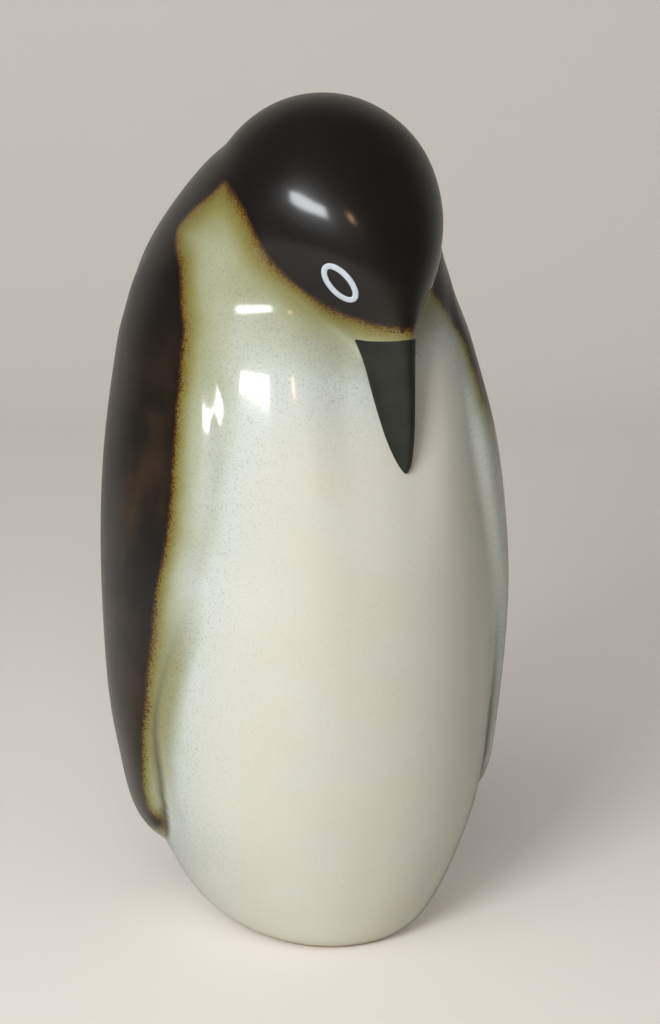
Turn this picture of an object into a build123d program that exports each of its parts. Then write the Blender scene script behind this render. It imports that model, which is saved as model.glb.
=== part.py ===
from build123d import *
import math
import os

os.makedirs("parts", exist_ok=True)

# A large glazed stoneware penguin, cast hollow in parts that are luted together, its head bowed
# Millimetres, +Z up, the penguin faces -Y, which is called forward here, and its own left side is +X

# Trunk: the egg-shaped body from the foot to the end of the neck inside the head
trunk_height = 386.0
trunk_half_width = 89.5
trunk_front_depth = 95.8
trunk_back_depth = 95.8
trunk_outline_exponent = 2.15
wall = 7.0
trunk_section_count = 24
section_point_count = 24

# Each row of the tables follows one height of the trunk, from the foot to the neck
trunk_height_shares = (
    0.0, 0.010, 0.036, 0.085, 0.160, 0.260, 0.380, 0.480,
    0.580, 0.665, 0.740, 0.805, 0.865, 0.920, 0.965, 1.0)
trunk_width_shares = (
    0.480, 0.570, 0.676, 0.790, 0.920, 0.983, 1.0, 0.994,
    0.966, 0.922, 0.872, 0.804, 0.718, 0.604, 0.480, 0.324)
trunk_front_shares = (
    0.778, 0.826, 0.869, 0.922, 0.963, 0.990, 1.0, 0.990,
    0.920, 0.818, 0.708, 0.624, 0.666, 0.713, 0.666, 0.540)
trunk_back_shares = (
    0.538, 0.595, 0.664, 0.735, 0.828, 0.911, 0.963, 0.979,
    0.995, 1.0, 0.986, 0.950, 0.850, 0.660, 0.410, 0.132)

# Foot: a ring that the figure stands on, closed inside by a lipped slab with a kiln vent
foot_ring_width = 11.0
foot_ring_depth = 5.0
slab_thickness = 9.0
slab_recess = 2.0
slab_lip_width = 6.0
slab_clearance = 0.3
vent_radius = 7.0

# Seams: the trunk is cast in a breast and a back half, and the head is luted on along a slope
trunk_seam_forward = 3.8
head_seam_setback = 6.65
head_seam_drop = 10.0
head_seam_angle = 39.5

# Head: a ball that runs out into the face and ends at the root of the bill
neck_pivot_forward = -1.2
head_turn_angle = 13.0
head_radius = 59.5
head_half_width = 55.0
head_setback = 56.75
neck_reach = 44.0
face_length = 72.7
face_pitch = 40.3
pole_angle = 5.0
ball_section_count = 6
face_section_count = 6

# Each row of the tables follows one place between the middle of the ball and the root of the bill
face_length_shares = (0.0, 0.24, 0.48, 0.70, 0.87, 1.0)
face_width_shares = (1.0, 0.941, 0.774, 0.552, 0.373)
face_depth_shares = (1.0, 0.94, 0.77, 0.525, 0.325)
face_bend_shares = (0.0, 0.08, 0.30, 0.58, 0.82, 1.0)
face_ridge_shares = (0.0, 0.0, 0.11, 0.33, 0.67, 1.0)

# Bill: a wedge with a rounded ridge on top, closed, its tip lying on the breast
bill_half_width = 14.7
bill_half_depth = 12.6
bill_length = 61.6
bill_pitch = 86.0
bill_clearance = 0.25
bill_section_count = 10
bill_ridge_share = 0.18

# Each row of the tables follows one place of the bill, from its root to its tip
bill_length_shares = (0.0, 0.114, 0.373, 0.609, 0.763, 0.836, 0.909, 0.966, 1.0)
bill_width_shares = (1.0, 0.878, 0.707, 0.565, 0.463, 0.381, 0.286, 0.177, 0.082)
bill_depth_shares = (1.0, 0.905, 0.762, 0.635, 0.532, 0.444, 0.333, 0.206, 0.095)
bill_lift_shares = (0.0, 0.136, 0.309, 0.435, 0.493, 0.540, 0.602, 0.662, 0.690)
bill_ridge_row_shares = (1.0, 1.0, 1.0, 0.95, 0.85, 0.70, 0.50, 0.30, 0.0)

# Eye rings: thin ovals of pale slip trailed on the dark glaze
eye_forward = 72.3
eye_drop = 20.2
eye_ring_half_length = 10.9
eye_ring_half_width = 6.1
eye_ring_stroke = 2.4
eye_ring_proud = 0.9
eye_ring_lean_angle = 51.0
eye_ring_clearance = 0.25
eye_ring_reach = 6.0

# Flippers: long leaves laid on the sides, thickest near their front edge, with a free rounded tip
flipper_tip_height = 40.5
flipper_top_drop = 64.0
flipper_front_reach = 60.8
flipper_back_reach = 62.3
flipper_thickness = 10.0
flipper_root_depth = 4.0
flipper_clearance = 0.25
flipper_section_count = 24
flipper_point_count = 16
flipper_edge_share = 0.65

# Each row of the tables follows one height of the flipper, from its tip to the shoulder
flipper_height_shares = (
    0.0, 0.009, 0.030, 0.055, 0.091, 0.147, 0.229, 0.336,
    0.460, 0.584, 0.709, 0.815, 0.904, 0.964, 1.0)
flipper_front_shares = (
    0.14, 0.24, 0.37, 0.46, 0.52, 0.54, 0.54, 0.67,
    0.90, 1.0, 0.975, 0.83, 0.60, 0.35, 0.10)
flipper_back_shares = (
    0.04, 0.16, 0.32, 0.42, 0.50, 0.58, 0.68, 0.81,
    0.92, 0.98, 1.0, 0.935, 0.81, 0.62, 0.36)
flipper_proud_shares = (
    0.18, 0.36, 0.62, 0.75, 0.79, 0.80, 0.92, 0.98,
    1.0, 0.96, 0.86, 0.68, 0.44, 0.22, 0.05)
flipper_lean_shares = (
    0.0, 0.05, 0.22, 0.35, 0.45, 0.50, 0.45, 0.35,
    0.15, 0.0, 0.0, 0.0, 0.0, 0.0, 0.0)


def read_share(places, shares, place):
    """Read a table of shares at any place with a smooth curve through its rows."""
    if place <= places[0]:
        return shares[0]
    if place >= places[-1]:
        return shares[-1]
    row = max(index for index in range(len(places) - 1) if places[index] <= place)
    step = places[row + 1] - places[row]
    before = (shares[row + 1] - shares[row]) / step
    after = before
    if row > 0:
        before = (shares[row + 1] - shares[row - 1]) / (places[row + 1] - places[row - 1])
    if row < len(places) - 2:
        after = (shares[row + 2] - shares[row]) / (places[row + 2] - places[row])
    part = (place - places[row]) / step
    start = (1 + 2 * part) * (1 - part) ** 2 * shares[row]
    end = part ** 2 * (3 - 2 * part) * shares[row + 1]
    bend = part * (1 - part) * step * ((1 - part) * before - part * after)
    return start + end + bend


def closed_face(points):
    """A flat face inside one closed smooth curve whose points are evenly numbered."""
    steps = [index / len(points) for index in range(len(points) + 1)]
    curve = Edge.make_spline(points, periodic=True, parameters=steps)
    return Face(Wire([curve]))


def rounded(value, power):
    """A sine or cosine squared off or sharpened by a power, with its sign kept."""
    return math.copysign(abs(value) ** power, value)


def even_turns(count):
    """Evenly spaced angles once round."""
    return [2 * math.pi * index / count for index in range(count)]


def eased_places(count):
    """Places from 0 to 1 that crowd towards both ends."""
    return [(1 - math.cos(math.pi * step / count)) / 2 for step in range(count + 1)]


def trunk_sizes(height, growth):
    """Half width, front and back depth of the trunk at one height."""
    place = height / trunk_height
    width = trunk_half_width * read_share(trunk_height_shares, trunk_width_shares, place)
    front = trunk_front_depth * read_share(trunk_height_shares, trunk_front_shares, place)
    back = trunk_back_depth * read_share(trunk_height_shares, trunk_back_shares, place)
    return width + growth, front + growth, back + growth


def trunk_point(height, angle, growth):
    """A point of the trunk, by its angle from the left side round the front."""
    width, front, back = trunk_sizes(height, growth)
    across = width * rounded(math.cos(angle), 2 / trunk_outline_exponent)
    forward = (front - back) / 2 + (front + back) / 2 * rounded(math.sin(angle), 2 / trunk_outline_exponent)
    return Vector(across, -forward, height)


def trunk_angle(height, forward):
    """The angle at which the trunk's outline is this far forward."""
    width, front, back = trunk_sizes(height, 0)
    side = (forward - (front - back) / 2) / ((front + back) / 2)
    return math.asin(rounded(max(-1, min(1, side)), trunk_outline_exponent / 2))


def trunk_face(height, growth):
    """The trunk's flat section at one height."""
    return closed_face([trunk_point(height, turn, growth) for turn in even_turns(section_point_count)])


def trunk_form(growth):
    """The solid trunk, grown outward or shrunk inward by an even amount."""
    return loft([trunk_face(place * trunk_height, growth) for place in eased_places(trunk_section_count)])


def ridged_face(forward, height, pitch, width, depth, ridge):
    """A section of the head or bill, square to its pitch and drawn in towards the crown by its ridge."""
    plane = Plane(
        origin=(0, -forward, height),
        x_dir=(1, 0, 0),
        z_dir=(0, -math.cos(math.radians(pitch)), -math.sin(math.radians(pitch))))
    points = []
    for turn in even_turns(section_point_count):
        across = width * (math.sin(turn) - ridge * math.sin(2 * turn))
        crownward = depth * (math.cos(turn) + ridge * math.cos(2 * turn))
        points.append(plane.from_local_coords((across, crownward, 0)))
    return closed_face(points)


head_height = trunk_height - neck_reach
face_along = math.cos(math.radians(face_pitch))
face_down = math.sin(math.radians(face_pitch))
root_height = head_height - face_length * face_down
bill_level = root_height - bill_length / 2
breast_forward = trunk_sizes(bill_level, 0)[1]
head_forward = breast_forward - head_setback
root_forward = head_forward + face_length * face_along
head_place = Location((0, -neck_pivot_forward, 0), (0, 0, head_turn_angle))


def head_form(growth):
    """The solid head in its own frame, from the back of the ball to the root of the bill."""
    faces = []
    radius = head_radius + growth
    for step in range(ball_section_count):
        angle = math.radians(pole_angle + (90 - pole_angle) * step / ball_section_count)
        run = -radius * math.cos(angle)
        width = (head_half_width + growth) * math.sin(angle)
        faces.append(ridged_face(
            head_forward + run * face_along, head_height - run * face_down,
            face_pitch, width, radius * math.sin(angle), 0))
    width_shares = face_width_shares + (bill_half_width / head_half_width,)
    depth_shares = face_depth_shares + (bill_half_depth / head_radius,)
    for step in range(face_section_count + 1):
        place = step / face_section_count
        run = (face_length + growth) * place
        bend = read_share(face_length_shares, face_bend_shares, place)
        width = head_half_width * read_share(face_length_shares, width_shares, place)
        depth = head_radius * read_share(face_length_shares, depth_shares, place)
        faces.append(ridged_face(
            head_forward + run * face_along, head_height - run * face_down,
            face_pitch + (bill_pitch - face_pitch) * bend, width + growth, depth + growth,
            bill_ridge_share * read_share(face_length_shares, face_ridge_shares, place)))
    return loft(faces)


def bill_form():
    """The solid bill in the head's frame, from its root to the rounded tip."""
    faces = []
    bill_along = math.cos(math.radians(bill_pitch))
    bill_down = math.sin(math.radians(bill_pitch))
    for step in range(bill_section_count + 1):
        place = math.sin(math.pi / 2 * step / bill_section_count)
        run = bill_length * place
        lift = bill_half_depth * read_share(bill_length_shares, bill_lift_shares, place)
        faces.append(ridged_face(
            root_forward + run * bill_along + lift * bill_down,
            root_height - run * bill_down + lift * bill_along, bill_pitch,
            bill_half_width * read_share(bill_length_shares, bill_width_shares, place),
            bill_half_depth * read_share(bill_length_shares, bill_depth_shares, place),
            bill_ridge_share * read_share(bill_length_shares, bill_ridge_row_shares, place)))
    return loft(faces)


def flipper_face(height, front_angle, back_angle, thickness, lean):
    """A flipper's section: a lens between two angles of the trunk, sunk into it on the inner side."""
    outside = []
    inside = []
    for step in range(flipper_point_count + 1):
        turn = math.pi * step / flipper_point_count
        bulge = max(0, math.sin(turn))
        angle = (front_angle + back_angle) / 2 + (front_angle - back_angle) / 2 * math.cos(turn)
        proud = thickness * bulge ** flipper_edge_share * (1 + lean * math.cos(turn))
        outside.append(trunk_point(height, angle, proud))
        inside.append(trunk_point(height, angle, -flipper_root_depth * bulge))
    steps = [step / flipper_point_count for step in range(flipper_point_count + 1)]
    outer_curve = Edge.make_spline(outside, parameters=steps)
    inner_curve = Edge.make_spline(inside, parameters=steps)
    return Face(Wire([outer_curve, inner_curve]))


def flipper_form():
    """The left flipper as a leaf laid round the side of the trunk."""
    faces = []
    flipper_length = trunk_height - flipper_top_drop - flipper_tip_height
    for place in eased_places(flipper_section_count):
        height = flipper_tip_height + flipper_length * place
        front = flipper_front_reach * read_share(flipper_height_shares, flipper_front_shares, place)
        back = flipper_back_reach * read_share(flipper_height_shares, flipper_back_shares, place)
        faces.append(flipper_face(
            height, trunk_angle(height, front), trunk_angle(height, -back),
            flipper_thickness * read_share(flipper_height_shares, flipper_proud_shares, place),
            read_share(flipper_height_shares, flipper_lean_shares, place)))
    return loft(faces)


def eye_plane(head):
    """The plane that touches the head at its right eye, with its X axis along the ring's long way."""
    sight = Axis((0, -eye_forward, head_height - eye_drop), (-1, 0, 0))
    hits = [hit for hit in head.find_intersection_points(sight) if hit[0].X < 0]
    point, normal = hits[0]
    up = Vector(0, 0, 1)
    billward = up.cross(normal).normalized()
    rise = (up - normal * up.dot(normal)).normalized()
    lean = math.radians(eye_ring_lean_angle)
    return Plane(origin=point, x_dir=billward * math.cos(lean) - rise * math.sin(lean), z_dir=normal)


def eye_ring_form(head):
    """The right eye's oval ring of slip, which follows the curve of the head."""
    oval = Ellipse(eye_ring_half_length, eye_ring_half_width)
    hole = Ellipse(eye_ring_half_length - eye_ring_stroke, eye_ring_half_width - eye_ring_stroke)
    sleeve = extrude(eye_plane(head) * (oval - hole), amount=eye_ring_reach, both=True)
    return (sleeve & head_form(eye_ring_proud)) - head_form(eye_ring_clearance)


def foot_plate(growth, bottom, top):
    """An upright plate of the foot's outline, grown or shrunk, between two heights."""
    return Pos(0, 0, bottom) * extrude(trunk_face(0, growth), amount=top - bottom, dir=(0, 0, 1))


def slab_form():
    """The closing slab: a plug inside the foot ring and a lip that rests on top of the ring."""
    slab_top = slab_recess + slab_thickness
    plug = foot_plate(-foot_ring_width - slab_clearance, slab_recess, foot_ring_depth)
    lip = foot_plate(slab_lip_width - foot_ring_width, foot_ring_depth, slab_top)
    vent = extrude(Circle(vent_radius), amount=slab_top)
    return plug + lip - vent


trunk = trunk_form(0)
head = head_form(0)
cavity = split(trunk_form(-wall), bisect_by=Plane.XY.offset(foot_ring_depth), keep=Keep.TOP)
cavity = cavity + head_place * head_form(-wall)
foot_opening = foot_plate(-foot_ring_width, 0, foot_ring_depth)
shell = trunk + head_place * head - cavity - foot_opening

head_seam = Plane(
    origin=(0, head_seam_setback - root_forward, root_height - head_seam_drop),
    x_dir=(1, 0, 0),
    z_dir=(0, -math.sin(math.radians(head_seam_angle)), math.cos(math.radians(head_seam_angle))))
trunk_seam = Plane(origin=(0, -trunk_seam_forward, 0), x_dir=(1, 0, 0), z_dir=(0, -1, 0))
trunk_shell = split(shell, bisect_by=head_seam, keep=Keep.BOTTOM)

flipper_bed = trunk_form(flipper_clearance)
flipper_left = flipper_form() - flipper_bed
bill_bed = trunk_form(bill_clearance)
eye_ring = eye_ring_form(head)

pieces = {
    "breast_shell": split(trunk_shell, bisect_by=trunk_seam, keep=Keep.TOP),
    "back_shell": split(trunk_shell, bisect_by=trunk_seam, keep=Keep.BOTTOM),
    "head_shell": split(shell, bisect_by=head_seam, keep=Keep.TOP),
    "base_slab": slab_form(),
    "flipper_left": flipper_left,
    "flipper_right": mirror(flipper_left, about=Plane.YZ),
    "bill": head_place * bill_form() - bill_bed,
    "eye_ring_left": head_place * mirror(eye_ring, about=Plane.YZ),
    "eye_ring_right": head_place * eye_ring,
}

for name, solid in pieces.items():
    export_step(solid, f"parts/{name}.step")
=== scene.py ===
import logging
import math
from dataclasses import dataclass
from enum import Enum
from functools import cached_property
from typing import Any, Iterable, Sequence

import bmesh
import bpy
import numpy as np
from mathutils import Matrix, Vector
from mathutils.bvhtree import BVHTree
from mathutils.kdtree import KDTree


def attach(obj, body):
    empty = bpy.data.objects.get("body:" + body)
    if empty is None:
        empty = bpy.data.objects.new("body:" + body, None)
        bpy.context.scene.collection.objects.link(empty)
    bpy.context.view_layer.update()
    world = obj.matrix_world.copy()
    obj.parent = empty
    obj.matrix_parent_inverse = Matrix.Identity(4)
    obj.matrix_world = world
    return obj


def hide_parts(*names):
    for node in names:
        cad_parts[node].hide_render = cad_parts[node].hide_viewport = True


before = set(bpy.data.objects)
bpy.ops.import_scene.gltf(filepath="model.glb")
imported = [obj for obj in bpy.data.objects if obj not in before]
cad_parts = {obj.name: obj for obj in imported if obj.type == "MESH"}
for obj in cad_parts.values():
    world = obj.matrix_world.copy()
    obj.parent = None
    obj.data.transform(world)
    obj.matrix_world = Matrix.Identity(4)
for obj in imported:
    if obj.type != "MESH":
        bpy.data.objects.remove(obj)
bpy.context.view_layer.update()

logging.basicConfig(level=logging.INFO, format="%(message)s")
log = logging.getLogger("penguin_figurine")

MM = 0.001
Colour = tuple[float, float, float, float]


def shade(red: int, green: int, blue: int) -> Colour:
    """Turn a colour as it looks on a screen, 0 to 255, into the linear one that shaders use.

    Args:
        red: Red, 0 to 255.
        green: Green, 0 to 255.
        blue: Blue, 0 to 255.

    Returns:
        The linear colour with an alpha of 1.
    """
    parts = []
    for value in (red, green, blue):
        part = value / 255
        parts.append(part / 12.92 if part <= 0.04045 else ((part + 0.055) / 1.055) ** 2.4)
    return (parts[0], parts[1], parts[2], 1.0)


def eased(count: int) -> np.ndarray:
    """Places from 0 to 1 that crowd towards both ends."""
    return (1 - np.cos(np.pi * np.arange(count + 1) / count)) / 2


def smooth_step(value: np.ndarray) -> np.ndarray:
    """An S-shaped rise from 0 to 1."""
    part = np.clip(value, 0, 1)
    return part * part * (3 - 2 * part)


def read_share(places: Sequence[float], shares: Sequence[float], place: float) -> float:
    """Read a table of shares at any place with a smooth curve through its rows.

    Args:
        places: Where the rows lie, from 0 to 1.
        shares: The rows' values.
        place: Where to read.

    Returns:
        The value at the place.
    """
    if place <= places[0]:
        return shares[0]
    if place >= places[-1]:
        return shares[-1]
    row = max(index for index in range(len(places) - 1) if places[index] <= place)
    step = places[row + 1] - places[row]
    before = after = (shares[row + 1] - shares[row]) / step
    if row > 0:
        before = (shares[row + 1] - shares[row - 1]) / (places[row + 1] - places[row - 1])
    if row < len(places) - 2:
        after = (shares[row + 2] - shares[row]) / (places[row + 2] - places[row])
    part = (place - places[row]) / step
    start = (1 + 2 * part) * (1 - part) ** 2 * shares[row]
    end = part ** 2 * (3 - 2 * part) * shares[row + 1]
    return start + end + part * (1 - part) * step * ((1 - part) * before - part * after)


def curve_through(knots: np.ndarray, rows: np.ndarray, places: np.ndarray) -> np.ndarray:
    """Lay a natural cubic curve through rows of values.

    Args:
        knots: The rows' places, rising.
        rows: One row of values for each knot.
        places: Where the curve is wanted.

    Returns:
        One row of values for each place.
    """
    gaps = np.diff(knots)
    count = len(knots)
    matrix = np.eye(count)
    right = np.zeros_like(rows)
    slopes = np.diff(rows, axis=0) / gaps[:, None]
    for row in range(1, count - 1):
        matrix[row, row - 1:row + 2] = gaps[row - 1], 2 * (gaps[row - 1] + gaps[row]), gaps[row]
        right[row] = 6 * (slopes[row] - slopes[row - 1])
    bends = np.linalg.solve(matrix, right)
    row = np.clip(np.searchsorted(knots, places, side="right") - 1, 0, count - 2)
    gap = gaps[row][:, None]
    after = (places - knots[row])[:, None] / gap
    before = 1 - after
    line = before * rows[row] + after * rows[row + 1]
    bow = (before ** 3 - before) * bends[row] + (after ** 3 - after) * bends[row + 1]
    return line + bow * gap ** 2 / 6


def run_lengths(rows: np.ndarray) -> np.ndarray:
    """The mean distance run from the first row of points to each of the rows."""
    steps = np.linalg.norm(np.diff(rows, axis=0), axis=-1).mean(axis=-1)
    return np.concatenate([[0], np.cumsum(steps)])


def soft_max(first: np.ndarray, second: np.ndarray, softness: float) -> np.ndarray:
    """The larger of two values, with a rounded change from one to the other."""
    reach = np.clip(softness - np.abs(first - second), 0, None) / softness
    return np.maximum(first, second) + reach ** 2 * softness / 4


def mesh_object(name: str, points: np.ndarray, faces: Iterable[Sequence[int]]) -> bpy.types.Object:
    """Make a mesh object from points in metres and faces, smooth all over.

    Args:
        name: The object's name.
        points: One row of X, Y and Z for each point.
        faces: The point numbers of each face.

    Returns:
        The object, linked to the scene.
    """
    mesh = bpy.data.meshes.new(name)
    mesh.from_pydata(
        np.asarray(points, float).tolist(), [], [list(map(int, face)) for face in faces])
    mesh.shade_smooth()
    thing = bpy.data.objects.new(name, mesh)
    bpy.context.scene.collection.objects.link(thing)
    return thing


def tube_faces(rows: int, columns: int) -> list[tuple[int, ...]]:
    """Faces of a grid that closes on itself sideways, row upon row."""
    faces = []
    for row in range(rows - 1):
        low, high = row * columns, (row + 1) * columns
        for column in range(columns):
            beside = (column + 1) % columns
            faces.append((low + column, low + beside, high + beside, high + column))
    return faces


def fan(centre: int, start: int, columns: int, outward: bool) -> list[tuple[int, ...]]:
    """Triangles from a centre point to one row of a grid."""
    faces = []
    for column in range(columns):
        beside = start + (column + 1) % columns
        pair = (start + column, beside) if outward else (beside, start + column)
        faces.append((centre,) + pair)
    return faces


def set_outward(mesh: bpy.types.Mesh) -> None:
    """Turn all faces of a closed mesh outward."""
    work = bmesh.new()
    work.from_mesh(mesh)
    bmesh.ops.recalc_face_normals(work, faces=work.faces)
    work.to_mesh(mesh)
    work.free()


def closed_tube(name: str, points: np.ndarray, columns: int) -> bpy.types.Object:
    """Make a closed tube from rings of points that the middles of its two ends follow.

    Args:
        name: The object's name.
        points: The rings' points in millimetres, then the middles of the first and the last end.
        columns: How many points each ring has.

    Returns:
        The object.
    """
    rows = (len(points) - 2) // columns
    faces = tube_faces(rows, columns)
    faces += fan(len(points) - 2, 0, columns, False)
    faces += fan(len(points) - 1, (rows - 1) * columns, columns, True)
    thing = mesh_object(name, points * MM, faces)
    set_outward(thing.data)
    return thing


def put_attribute(mesh: bpy.types.Mesh, name: str, values: np.ndarray) -> None:
    """Store a number or a vector for each point of a mesh."""
    kind = "FLOAT" if values.ndim == 1 else "FLOAT_VECTOR"
    layer = mesh.attributes.new(name, kind, "POINT")
    layer.data.foreach_set(
        "value" if values.ndim == 1 else "vector", values.astype(np.float32).ravel())


def read_vectors(rows: Any, key: str) -> np.ndarray:
    """Read one vector for each row of a mesh's data."""
    values = np.zeros(len(rows) * 3, np.float32)
    rows.foreach_get(key, values)
    return values.reshape(-1, 3).astype(float)


def read_numbers(rows: Any, key: str, width: int = 1) -> np.ndarray:
    """Read one or more whole numbers for each row of a mesh's data."""
    values = np.zeros(len(rows) * width, np.int32)
    rows.foreach_get(key, values)
    return values


class NodeBench:
    """A node tree with short calls that add nodes and join them."""

    def __init__(self, tree: bpy.types.NodeTree) -> None:
        """Take the tree that is to be filled."""
        self.tree = tree

    def add(
            self, kind: str, inputs: dict[Any, Any] | None = None,
            **settings: Any) -> bpy.types.Node:
        """Add one node.

        Args:
            kind: The node's type name.
            inputs: A value or another node's output for each input, by name or number.
            settings: Values for the node's own properties.

        Returns:
            The new node.
        """
        node = self.tree.nodes.new(kind)
        for name, value in settings.items():
            setattr(node, name, value)
        for key, value in (inputs or {}).items():
            if isinstance(value, bpy.types.NodeSocket):
                self.link(value, node.inputs[key])
            else:
                node.inputs[key].default_value = value
        return node

    def link(self, start: bpy.types.NodeSocket, end: bpy.types.NodeSocket) -> None:
        """Join an output to an input."""
        self.tree.links.new(start, end)

    def sum(
            self, operation: str, first: Any, second: Any = 0.0,
            third: Any = 0.0) -> bpy.types.NodeSocket:
        """One step of arithmetic on numbers, as a Math node's output."""
        return self.add(
            "ShaderNodeMath", {0: first, 1: second, 2: third}, operation=operation).outputs[0]

    def product(self, first: Any, *others: Any) -> bpy.types.NodeSocket:
        """Several numbers multiplied."""
        for other in others:
            first = self.sum("MULTIPLY", first, other)
        return first

    def vector(self, operation: str, first: Any, second: Any) -> bpy.types.NodeSocket:
        """One step of arithmetic on vectors, as a Vector Math node's output."""
        name = "Scale" if operation == "SCALE" else 1
        return self.add(
            "ShaderNodeVectorMath", {0: first, name: second}, operation=operation).outputs[0]

    def carry(
            self, value: Any, low: float, high: float, first: float = 0.0,
            last: float = 1.0) -> bpy.types.NodeSocket:
        """A number carried from one range to another and held at its ends."""
        return self.add(
            "ShaderNodeMapRange", {0: value, 1: low, 2: high, 3: first, 4: last}).outputs[0]

    def blend(self, share: Any, first: Any, second: Any) -> bpy.types.NodeSocket:
        """One colour with a share of another mixed in."""
        return self.add(
            "ShaderNodeMix", {0: share, 6: first, 7: second}, data_type="RGBA").outputs[2]

    def noise(self, scale: Any, detail: float, roughness: float = 0.5) -> bpy.types.NodeSocket:
        """Noise on the object's own coordinates."""
        return self.add("ShaderNodeTexNoise", {
            "Vector": self.spot(), "Scale": scale, "Detail": detail,
            "Roughness": roughness}).outputs[0]

    def spot(self) -> bpy.types.NodeSocket:
        """The object's own coordinates."""
        return self.add("ShaderNodeTexCoord").outputs["Object"]

    def painted(self, name: str) -> bpy.types.NodeSocket:
        """A number that is stored at the points of the mesh."""
        return self.add("ShaderNodeAttribute", attribute_name=name).outputs["Fac"]

    def group(self, tree: bpy.types.NodeTree, inputs: dict[str, Any]) -> bpy.types.Node:
        """A shared effect with this material's own values."""
        return self.add("ShaderNodeGroup", inputs, node_tree=tree)

    def read(self, name: str, kind: str) -> bpy.types.NodeSocket:
        """A stored attribute of the geometry."""
        node = self.add("GeometryNodeInputNamedAttribute", {"Name": name}, data_type=kind)
        return node.outputs["Attribute"]


def shape_tree(name: str, inputs: Sequence[tuple[str, str]]) -> tuple[NodeBench, bpy.types.Node]:
    """Start a Geometry Nodes tree with named inputs.

    Args:
        name: The tree's name.
        inputs: Name and socket type of each input after the geometry.

    Returns:
        The bench to fill the tree with, and its input node.
    """
    tree = bpy.data.node_groups.new(name, "GeometryNodeTree")
    tree.interface.new_socket("Geometry", in_out="INPUT", socket_type="NodeSocketGeometry")
    for label, kind in inputs:
        tree.interface.new_socket(label, in_out="INPUT", socket_type=kind)
    tree.interface.new_socket("Geometry", in_out="OUTPUT", socket_type="NodeSocketGeometry")
    bench = NodeBench(tree)
    return bench, bench.add("NodeGroupInput")


def close_tree(
        bench: NodeBench, geometry: bpy.types.NodeSocket, material: bpy.types.NodeSocket) -> None:
    """End a tree in Realize Instances and Set Material."""
    real = bench.add("GeometryNodeRealizeInstances", {"Geometry": geometry})
    dressed = bench.add(
        "GeometryNodeSetMaterial", {"Geometry": real.outputs[0], "Material": material})
    bench.add("NodeGroupOutput", {0: dressed.outputs[0]})


def grow(
        thing: bpy.types.Object, tree: bpy.types.NodeTree,
        values: dict[str, Any]) -> bpy.types.Mesh:
    """Run a Geometry Nodes tree on an object and keep the result as a plain mesh.

    Args:
        thing: The object that the tree works on.
        tree: The tree.
        values: The value of each named input.

    Returns:
        The plain mesh. The object has it too, and its modifier is gone.
    """
    modifier = thing.modifiers.new(tree.name, "NODES")
    modifier.node_group = tree
    for item in tree.interface.items_tree:
        if getattr(item, "in_out", "") == "INPUT" and item.name in values:
            modifier[item.identifier] = values[item.name]
    graph = bpy.context.evaluated_depsgraph_get()
    mesh = bpy.data.meshes.new_from_object(thing.evaluated_get(graph), depsgraph=graph)
    thing.modifiers.remove(modifier)
    thing.data = mesh
    mesh.shade_smooth()
    return mesh


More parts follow.
